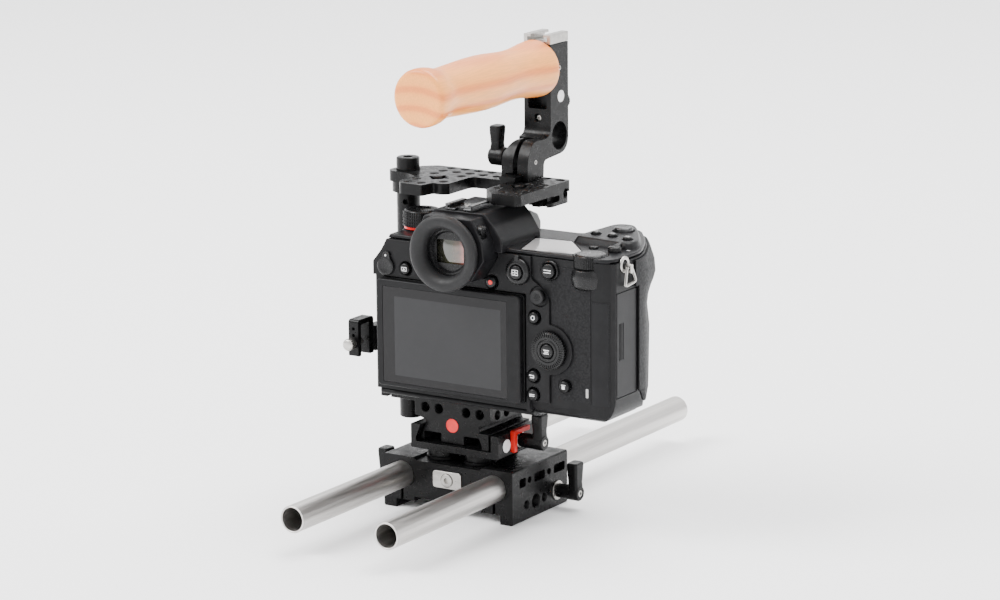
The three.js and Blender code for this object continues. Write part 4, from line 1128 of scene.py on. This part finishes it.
def underside():
    low, high = span("bottom_plate")[4:]
    plan = outline([
        (LEFT + 1, REAR + 4), (RIGHT - 1, REAR + 4, 3), (RIGHT - 2, 125, 9), (90, 148, 9), (77, 167, 9),
        (67, 166, 5), (61, 149, 5), (LEFT + 1, 149, 8),
    ], 10)
    plate = softened(slab("Z", plan, low, high), 1.6, 4)
    x0, x1, y0, y1, _, _ = span("battery_door")
    plate = cut(plate, *case_trims()[1:], block(x0 - GAP, x1 + GAP, y0 - GAP, y1 + GAP, low - 1, high + 1),
        bar("Z", 3.2, 0, 131, low - 1, low + 2, 32))
    piece("bottom_plate_body", plate, LOOK["body"], "carriage", BODY, "bottom_plate")
    flap = cut(softened(slab("Z", rectangle(x0, x1, y0, y1, 2), low, high), 0.3), case_trims()[1])
    latch = slab("Z", rectangle(x1 - 7, x1 - 3, (y0 + y1) / 2 - 5, (y0 + y1) / 2 + 5, 1.5), low - 1,
        low + 0.8)
    flap = keep(flap, slab("Z", plan, low - 1, high + 1))
    piece("battery_door_body", cut(flap, latch), LOOK["body"], "battery_flap", BODY, "battery_door")


def card_door():
    _, out, rear, front, low, high = span("card_door")
    inner = out - 2.8
    panel = softened(slab("X",
        outline([(rear, low, 1), (front, low, 2), (front, high, 1), (rear, high, 1)]), inner, out), 0.4)
    grip = [block(out - 0.5, out + 1, rear + 2 + k * 1.4, rear + 2.7 + k * 1.4, 82, 102) for k in range(4)]
    piece("card_door_body", cut(panel, *grip), LOOK["cover"], "card_flap", BODY, "card_door")


def eyepiece():
    x, _, z = centre("eyepiece_lens")
    rear = 80
    profile = [
        (12.9, rear - 0.3), (12.6, rear - 1.6), (12.7, rear - 2.8), (13.4, rear - 4.6), (14.8, rear - 6.1),
        (16.2, rear - 6.9), (17.8, rear - 7.1), (19.4, rear - 6.9), (20.5, rear - 6.1), (20.9, rear - 4.9),
        (20.6, rear - 3.2), (19.6, rear - 1.4), (18.9, rear - 0.3),
    ]
    piece("eyecup_ring", turned("Y", profile, x, z, 96), LOOK["rubber"], "carriage", RUBBER, "eyecup",
        crease=70)
    bezel = [(11.5, rear + 0.1), (12.4, rear + 0.1), (12.4, rear + 3), (10.8, rear + 3), (10.4, rear + 1.8)]
    piece("eyepiece_bezel", turned("Y", bezel, x, z, 72), LOOK["control"], "carriage", CONTROL)
    lens = turned("Y", [(0, rear + 2.6), (4.5, rear + 2.8), (9.2, rear + 3.5), (12.2, rear + 4.2),
        (12.2, rear + 5.5), (0, rear + 5.5)], x, z, 72)
    piece("eyepiece_glass", lens, LOOK["optics"], "carriage", "optic_glass", "eyepiece_lens", crease=70)
    mask = cut(bar("Y", 11.6, x, z, rear + 1.9, rear + 2.3, 72),
        slab("Y", rectangle(x - 8.6, x + 8.6, z - 6.6, z + 6.2, 1), rear, rear + 4))
    piece("eyepiece_mask", mask, LOOK["control"], "carriage", CONTROL)


def hot_shoe():
    x0, x1, rear, front, low, high = span("hot_shoe")
    axis = (x0 + x1) / 2
    half = [(0, low), (8.8, low), (8.8, high, 0.5), (5.8, high, 0.5), (5.8, low + 2.3, 0.3),
        (7.4, low + 2.3), (7.4, low + 0.9), (0, low + 0.9)]
    section = [(axis + u, v, *size) for u, v, *size in half[1:-1]]
    section += [(axis - u, v, *size) for u, v, *size in reversed(half[1:-1])]
    rails = softened(slab("Y", outline(section, 4), rear, front), 0.15)
    rails = cut(rails, block(axis - 2.6, axis + 2.6, rear - 1, rear + 2.4, low - 1, high + 1))
    piece("hot_shoe_rails", rails, LOOK["dark_metal"], "carriage", BRIGHT, "hot_shoe")
    bed = slab("Z", rectangle(axis - 5.6, axis + 5.6, rear + 3, front - 0.6, 0.6), low + 0.6, low + 1.1)
    piece("hot_shoe_bed", bed, LOOK["control"], "carriage", CONTROL)
    spots = [(0, 0, 1.5), (-3.4, 3.2, 0.8), (-1.2, 3.8, 0.8), (1.4, 3.8, 0.8), (3.4, 3.2, 0.8)]
    middle = (rear + front) / 2
    contacts = gather(*(turned("Z", [(0, low + 0.9), (r, low + 0.9), (r, low + 1.2), (r * 0.7, low + 1.3),
        (0, low + 1.3)], axis + u, middle + v, 24) for u, v, r in spots))
    piece("hot_shoe_contacts", contacts, LOOK["silver"], "carriage", BRIGHT)


def lens_side():
    x, _, z = centre("lens_mount")
    rear, front = span("lens_mount")[2:4]
    ring = turned("Y", [
        (23.8, rear), (31, rear), (31, front - 1.2), (30.2, front), (25.2, front), (24.6, front - 0.5),
        (24.6, front - 2), (23.8, front - 2),
    ], x, z, 128)
    screws = [hole("Y", 1.3, x + 27.8 * math.cos(a), z + 27.8 * math.sin(a), front,
        front - 1.4) for a in (0.5, 1.6, 2.7, 3.8, 5.0, 5.9)]
    piece("lens_mount_ring", cut(ring, *screws), LOOK["silver"], "carriage", STEEL, "lens_mount")
    x0, x1, y0, y1, z0, z1 = span("image_sensor")
    chip = softened(block(x0, x1, y0, y1, z0, z1), 0.5)
    baffle = slab("Y", rectangle(x - 29, x + 29, z - 27, z + 27, 4), FRONT - 4.9, FRONT - 3.3)
    window = slab("Y", rectangle(x0 - 0.6, x1 + 0.6, z0 - 0.6, z1 + 0.6, 1.5), FRONT - 6, FRONT - 2)
    piece("sensor_baffle", cut(baffle, window), LOOK["screen"], "carriage", BODY)
    piece("image_sensor_block", chip, LOOK["screen"], "carriage", "optic_glass", "image_sensor")
    x0, x1, y0, y1, z0, z1 = span("main_board")
    parts = [block(x0, x1, y0, y1, z0, z1)]
    for k in range(5):
        parts.append(block(x0 + 8 + k * 16, x0 + 18 + k * 16, y1 - 0.5, y1 + 1.6, z0 + 12 + (k % 2) * 26,
            z0 + 24 + (k % 2) * 26))
    board = keep(join(*parts), slab("Y", cavity(0.5), y0 - 1, FRONT))
    piece("main_board_assembly", board, LOOK["board"], "carriage", "circuit_board", "main_board")
    x0, x1, y0, y1, z0, z1 = span("battery")
    pack = softened(slab("Z", rectangle(x0, x1, y0, y1, 2.5), z0, z1), 0.5)
    piece("battery_pack", pack, LOOK["rubber"], "carriage", RUBBER, "battery")


# ---- monitor --------------------------------------------------------------------------------------------


def monitor():
    x0, x1, y0, y1, z0, z1 = span("monitor_frame")
    tray = cut(
        softened(slab("Y", rectangle(x0, x1, z0, z1, 3), y0, y1), 0.4),
        slab("Y", rectangle(x0 + 8, x1 - 8, z0 + 8, z1 - 8, 2), y0 - 1, y0 + 0.6),
    )
    piece("monitor_frame_body", tray, LOOK["body"], "monitor_tilter", BODY, "monitor_frame")
    x0, x1, y0, y1, z0, z1 = span("monitor_panel")
    case = softened(slab("Y", rectangle(x0, x1, z0, z1, 3), y0, y1), 0.9, 3)
    glass = rectangle(x0 + 4, x1 - 8, z0 + 2.2, z1 - 3.6, 1)
    case = cut(case, slab("Y", glass, y0 - 1, y0 + 0.5))
    grip = [block(x1 - 1, x1 + 1, y0 + 1.2, y0 + 1.8, z0 + 12 + k * 2, z0 + 13 + k * 2) for k in range(6)]
    piece("monitor_case", cut(case, *grip), LOOK["body"], "monitor", BODY, "monitor_panel")
    pane = softened(slab("Y", rectangle(x0 + 4.15, x1 - 8.15, z0 + 2.35, z1 - 3.75, 0.9), y0 + 0.12,
        y0 + 0.8), 0.1, 1)
    piece("monitor_glass", pane, LOOK["screen"], "monitor", GLASS)
    lit = slab("Y", rectangle(x0 + 11.8, x1 - 11.9, z0 + 6.6, z1 - 8.8, 0.3), y0 + 0.07, y0 + 0.3)
    piece("monitor_display", lit, LOOK["display"], "monitor", GLASS)
    hinge_x = x0 + 1.2
    knuckles = gather(*(bar("Z", 1.1, hinge_x, y1 - 0.4, a, b, 24) for a,
        b in ((z0 + 8, z0 + 16), (z1 - 16, z1 - 8))))
    piece("monitor_hinge_knuckles", knuckles, LOOK["silver"], "monitor_tilter", STEEL)


# ---- controls -------------------------------------------------------------------------------------------


def cap(axis, radius, u, v, low, high, dome=0.25):
    """A button cap between two levels; high is its outer face, with a soft edge and a shallow dome."""
    out = math.copysign(1, high - low)
    return turned(axis, [
        (0, low), (radius, low), (radius, high - out * 0.7), (radius - 0.2, high - out * 0.3),
        (radius - 0.6, high), (radius * 0.5, high + out * dome * 0.6), (0, high + out * dome),
    ], u, v, 40)


def rear_controls():
    for node, marks in rear_buttons().items():
        x0, x1, y0, y1, _, _ = span(node)
        x, _, z = centre(node)
        body = f"{node}_cap"
        piece(f"{node}_body", cap("Y", (x1 - x0) / 2, x, z, y1, y0 + 0.15, 0.12), LOOK["control"], body,
            CONTROL, node)
        if marks is None:
            dot = [circle(x, z, 1.25, 24)]
            mark(f"{node}_dot", "Y", dot, y0 + 0.05, -1, body, "vermilion")
        else:
            loops = [[(x + u, z + v) for u, v in loop] for loop in marks]
            mark(f"{node}_mark", "Y", loops, y0 + 0.08, -1, body)

    x, _, z = centre("control_dial")
    y0, y1 = span("control_dial")[2:4]
    rim = slab("Y", toothed(x, z, 10.5, 0.6, 48), y0 + 0.9, y1)
    crown = turned("Y", [(4.3, y1), (10, y1), (10.1, y0 + 1.1), (9.4, y0 + 0.2), (8.8, y0),
        (6.4, y0 + 0.1), (6.1, y0 + 0.5), (5.8, y0 + 0.1), (4.6, y0), (4.3, y0 + 0.3)], x, z, 96)
    wheel = cut(join(rim, crown), bar("Y", 4.3, x, z, y0 - 2, y1 + 2))
    grooves = []
    for k in range(44):
        a = 2 * math.pi * k / 44
        grooves.append(turned_about(block(x + 7.6, x + 9.9, y0 - 1, y0 + 0.6, z - 0.28, z + 0.28), "Y",
            math.degrees(a), (x, 0, z)))
    piece("control_dial_wheel", cut(wheel, gather(*grooves)), LOOK["control"], "rear_wheel", CONTROL,
        "control_dial")
    y0, y1 = span("control_dial_button")[2:4]
    piece("control_dial_button_body", cap("Y", 3.8, x, z, y1, y0, 0.1), LOOK["control"],
        "rear_wheel_button", CONTROL, "control_dial_button")
    bars = [rectangle(x - 1.7, x + 1.7, z + 0.4, z + 0.85), rectangle(x - 1.2, x + 1.2, z - 0.5, z - 0.1),
        rectangle(x - 1.6, x + 1.6, z - 1.4, z - 1)]
    mark("control_dial_button_mark", "Y", bars, y0 - 0.03, -1, "rear_wheel_button")

    x, _, z = centre("joystick")
    y0, y1 = span("joystick")[2:4]
    stick = join(
        turned("Y", [(0, y1), (2.2, y1), (2.2, y0 + 2), (3.6, y0 + 1.8), (4.1, y0 + 1.2), (4, y0 + 0.4),
        (3.5, y0), (2.4, y0 + 0.35), (0, y0 + 0.5)], x, z, 48),
    )
    studs = [turned("Y", [(0, y0 + 0.8), (0.32, y0 + 0.7), (0.2, y0 + 0.15), (0, y0 + 0.1)], x + u * 0.8,
        z + v * 0.8, 12) for u in range(-2, 3) for v in range(-2, 3) if u * u + v * v < 8]
    piece("joystick_body", gather(stick, *studs), LOOK["rubber"], "stick", RUBBER, "joystick")

    x, _, z = centre("af_mode_button")
    y0, y1 = span("af_mode_lever")[2:4]
    ring = turned("Y", [(4.3, y1), (7.3, y1), (7.25, y0 + 1.6), (6.8, y0 + 0.8), (5.8, y0 + 0.2),
        (4.8, y0), (4.3, y0 + 0.3)], x, z, 72)
    nub = softened(slab("Y",
        outline([(x - 1.6, z + 4.9), (x + 1.6, z + 4.9), (x + 1.2, z + 9, 0.8), (x - 1.2, z + 9, 0.8)]),
        y0 + 0.4, y1), 0.3)
    piece("af_mode_lever_ring", join(ring, nub), LOOK["control"], "mode_ring", CONTROL, "af_mode_lever")
    y0, y1 = span("af_mode_button")[2:4]
    piece("af_mode_button_body", cap("Y", 3.8, x, z, y1, y0, 0.12), LOOK["control"], "mode_button",
        CONTROL, "af_mode_button")
    frame_mark = [band([(x - 1.9, z - 1.5), (x + 1.9, z - 1.5), (x + 1.9, z + 1.5), (x - 1.9, z + 1.5),
        (x - 1.9, z - 1.4)], 0.4)]
    frame_mark += [rectangle(x - 0.2, x + 0.2, z - 1.3, z + 1.3),
        rectangle(x - 1.7, x + 1.7, z - 0.2, z + 0.2)]
    mark("af_mode_button_mark", "Y", frame_mark, y0 - 0.03, -1, "mode_button")

    lock_x, lock_z = -31.1, 119.5
    lock = turned("Y", [(0, REAR + 1), (5.2, REAR + 1), (5.2, REAR - 1.2), (4.7, REAR - 1.6),
        (3.6, REAR - 1.6), (3.3, REAR - 1.3), (0, REAR - 1.3)], lock_x, lock_z, 56)
    arm = softened(slab("Y",
        outline([(lock_x - 2.6, lock_z + 3), (lock_x + 3.6, lock_z + 2), (lock_x + 2.6, lock_z + 8, 1.2),
        (lock_x - 1, lock_z + 8, 1.2)]), REAR - 1.4, REAR + 0.6), 0.3)
    piece("lock_lever", join(lock, arm), LOOK["control"], "carriage", CONTROL)
    mark("lock_lever_dot", "Y", [circle(lock_x + 0.4, lock_z + 6, 0.55, 20)], REAR - 1.4, -1, "carriage")


def top_controls():
    x, y, _ = centre("rear_dial")
    low, high = span("rear_dial")[4:]
    rim = softened(slab("Z", toothed(x, y, 9.2, 0.4, 56), low, high - 0.9), 0.08, 1)
    crown = turned("Z", [(0, low + 0.2), (8.4, low + 0.2), (8.6, high - 0.9), (8.1, high - 0.2),
        (7.4, high), (0, high - 0.5)], x, y, 72)
    piece("rear_dial_wheel", join(rim, crown), LOOK["control"], "thumb_wheel", CONTROL, "rear_dial")
    disc = turned("Z", [(0, high - 0.6), (6.9, high - 0.2), (6.9, high - 0.05), (0, high - 0.42)], x, y, 72)
    piece("rear_dial_top", disc, LOOK["dark_metal"], "thumb_wheel", BRIGHT)

    x, y, _ = centre("drive_dial")
    low, high = span("drive_dial")[4:]
    stack = [slab("Z", toothed(x, y, 10.5, 0.5, 52), low + 2.4 + k * 1.7,
        low + 3.7 + k * 1.7) for k in range(5)]
    core = turned("Z", [(0, low), (8.9, low), (9.6, low + 2.2), (9.9, low + 2.6), (9.9, high - 1.2),
        (9.2, high - 0.2), (8.4, high), (5, high), (4.6, high - 0.4), (0, high - 0.4)], x, y, 72)
    piece("drive_dial_wheel", join(core, *stack), LOOK["control"], "drive_wheel", CONTROL, "drive_dial")
    red_ring = turned("Z", [(8.8, low + 0.9), (9.8, low + 0.9), (10, low + 2.2), (8.8, low + 2.2)], x, y,
        72)
    piece("drive_dial_red_ring", red_ring, LOOK["vermilion"], "drive_wheel", CATCH)
    seat = turned("Z", [(0, 127), (10.9, 127), (10.9, 136.6), (10.2, 137.28), (0, 137.28)], x, y, 72)
    piece("drive_dial_seat", seat, LOOK["cover"], "carriage", BODY)
    for k in range(8):
        a = 2 * math.pi * k / 8
        tick = rectangle(x + 7 * math.cos(a) - 0.3, x + 7 * math.cos(a) + 0.3, y + 7 * math.sin(a) - 0.3,
            y + 7 * math.sin(a) + 0.3)
        mark(f"drive_dial_mark_{k}", "Z", [tick], high - 0.15, 1, "drive_wheel")

    low = span("power_lever")[4]
    hub = turned("Z", [(0, low), (3.6, low), (3.6, low + 1.8), (3, low + 2.5), (0, low + 2.6)], 99.4, 116,
        48)
    blade = []
    for y, half, height in ((116, 2.6, 2.6), (118, 1.7, 3.0), (120.5, 1.2, 3.5), (122.2, 1.0, 3.6),
            (122.4, 0.7, 3.2)):
        blade.append([(99.4 + u, y, low + v) for u, v in rectangle(-half, half, 0, height, 0.6)])
    piece("power_lever_body", join(hub, loft(blade)), LOOK["control"], "power_switch", CONTROL,
        "power_lever")
    mark("power_lever_marks", "Z", [circle(93.5, 124.4, 0.7, 20), rectangle(103.2, 105, 122, 122.6)],
        137.0, 1, "carriage")

    x, y, _ = centre("shutter_button")
    low, high = span("shutter_button")[4:]
    button = turned("Z", [(0, low), (5.2, low), (5.2, high - 0.9), (4.8, high - 0.3), (4, high),
        (2, high - 0.35), (0, high - 0.45)], x, y, 64)
    piece("shutter_button_body", button, LOOK["dark_metal"], "shutter_release", BRIGHT, "shutter_button")
    for node in ("white_balance_button", "iso_button", "exposure_button"):
        x, y, _ = centre(node)
        low, high = span(node)[4:]
        piece(f"{node}_body", cap("Z", 2.6, x, y, low, high, 0.1), LOOK["control"], f"{node}_cap", CONTROL,
            node)
        mark(f"{node}_mark", "Z", [rectangle(x - 1.1, x + 1.1, y - 0.25, y + 0.25)], high + 0.05, 1,
            f"{node}_cap")


def strap_ring():
    """The strap's triangular split ring: two turns of flattened wire side by side."""
    x, y, z = 112.4, 109, 131
    corners = [(y - 2.4, z + 0.4), (y + 2.4, z + 0.4), (y + 7, z - 8.2), (y - 4.2, z - 9.4)]
    middle = outline([(u, v, 2.2) for u, v in corners], 8)
    wires = []
    for offset in (-0.42, 0.42):
        rings = []
        count = len(middle)
        for i, (u, v) in enumerate(middle):
            before, after = Vector(middle[i - 1]), Vector(middle[(i + 1) % count])
            along = (after - before).normalized()
            ring = []
            for k in range(10):
                a = 2 * math.pi * k / 10
                ring.append((x + offset + 0.4 * math.cos(a), u - along.y * 0.55 * math.sin(a),
                    v + along.x * 0.55 * math.sin(a)))
            rings.append(ring)
        vertices = [point for ring in rings for point in ring]
        faces = []
        for i in range(count):
            for k in range(10):
                j, m = (i + 1) % count, (k + 1) % 10
                faces.append((i * 10 + k, i * 10 + m, j * 10 + m, j * 10 + k))
        wires.append(solid(vertices, faces))
    piece("strap_ring_wire", gather(*wires), LOOK["silver"], "strap_loop", STEEL, "strap_ring", crease=80)


# ---- stage ------------------------------------------------------------------------------------------------


def camera():
    """The main view: from behind and to the right, slightly above, through a long lens."""
    azimuth, elevation, roll = (math.radians(a) for a in (32.53, 12.88, -0.5))
    back = Vector((math.sin(azimuth) * math.cos(elevation), -math.cos(azimuth) * math.cos(elevation),
        math.sin(elevation)))
    level = Vector((math.cos(azimuth), math.sin(azimuth), 0))
    upright = back.cross(level)
    right = level * math.cos(roll) + upright * math.sin(roll)
    up = upright * math.cos(roll) - level * math.sin(roll)
    lens = bpy.data.cameras.new("camera")
    lens.lens, lens.sensor_width = 127.87, 36
    lens.clip_start, lens.clip_end = 0.05, 50
    eye = bpy.data.objects.new("camera", lens)
    turn = Matrix((right, up, back)).transposed().to_4x4()
    eye.matrix_world = Matrix.Translation(Vector((1032.7, -1460.1, 530.1)) * MM + ORIGIN) @ turn
    bpy.context.scene.collection.objects.link(eye)
    bpy.context.scene.camera = eye


def area_light(name, position, target, size, power, colour=(1, 1, 1)):
    data = bpy.data.lights.new(name, "AREA")
    data.shape = "RECTANGLE"
    data.size, data.size_y = size
    data.energy = power
    data.color = colour
    lamp = bpy.data.objects.new(name, data)
    place = Vector(position)
    lamp.matrix_world = Matrix.Translation(place) @ (Vector(target) - place).to_track_quat("-Z",
        "Y").to_matrix().to_4x4()
    bpy.context.scene.collection.objects.link(lamp)


def stage():
    """A pale sweep: a floor that curves up into a backdrop, and broad soft light."""
    width, depth, bend, height = 6.0, 4.0, 1.2, 4.0
    profile = [(-depth, 0.0), (depth - bend, 0.0)]
    for k in range(1, 17):
        angle = math.pi / 2 * k / 16
        profile.append((depth - bend + bend * math.sin(angle), bend - bend * math.cos(angle)))
    profile.append((depth, height))
    vertices = [(x, y, z) for y, z in profile for x in (-width, width)]
    faces = [(2 * k, 2 * k + 1, 2 * k + 3, 2 * k + 2) for k in range(len(profile) - 1)]
    mesh = bpy.data.meshes.new("floor")
    mesh.from_pydata(vertices, [], faces)
    mesh.polygons.foreach_set("use_smooth", [True] * len(mesh.polygons))
    paper = Finish("paper", (0.93, 0.93, 0.935), 0.9, specular_ior_level=0.1)
    mesh.materials.append(paper.material)
    floor = bpy.data.objects.new("floor", mesh)
    bpy.context.scene.collection.objects.link(floor)

    world = bpy.data.worlds.new("studio")
    bpy.context.scene.world = world
    world.use_nodes = True
    world.node_tree.nodes["Background"].inputs["Color"].default_value = (1, 1, 1, 1)
    world.node_tree.nodes["Background"].inputs["Strength"].default_value = 1.7
    area_light("key", (-1.6, -1.4, 2.2), (0, 0, 0.12), (1.6, 1.6), 130)
    area_light("fill", (2.4, -1.8, 1.0), (0, 0, 0.12), (1.2, 1.2), 8)
    area_light("top", (0.2, 0.8, 2.6), (0, 0, 0.12), (2.4, 1.6), 120)


camera()
rods()
base_clamp()
clamp_lever("rod_lever_right", "rod_lever_right", "right_rod_lever", 150, -10, 42, 1, 17.5)
clamp_lever("rod_lever_left", "rod_lever_left", "left_rod_lever", 124, -10, -42, -1, 17.5)
quick_release()
clamp_lever("tray_lever", "quick_release_lever", "tray_lever", 127, 23, 32.5, 1, 16, 4.4)
quick_plate()
cage_plate()
cage_post()
handle()
cable_clamp()
front_case()
rear_case()
top_case()
underside()
card_door()
eyepiece()
hot_shoe()
lens_side()
monitor()
rear_controls()
top_controls()
strap_ring()
stage()
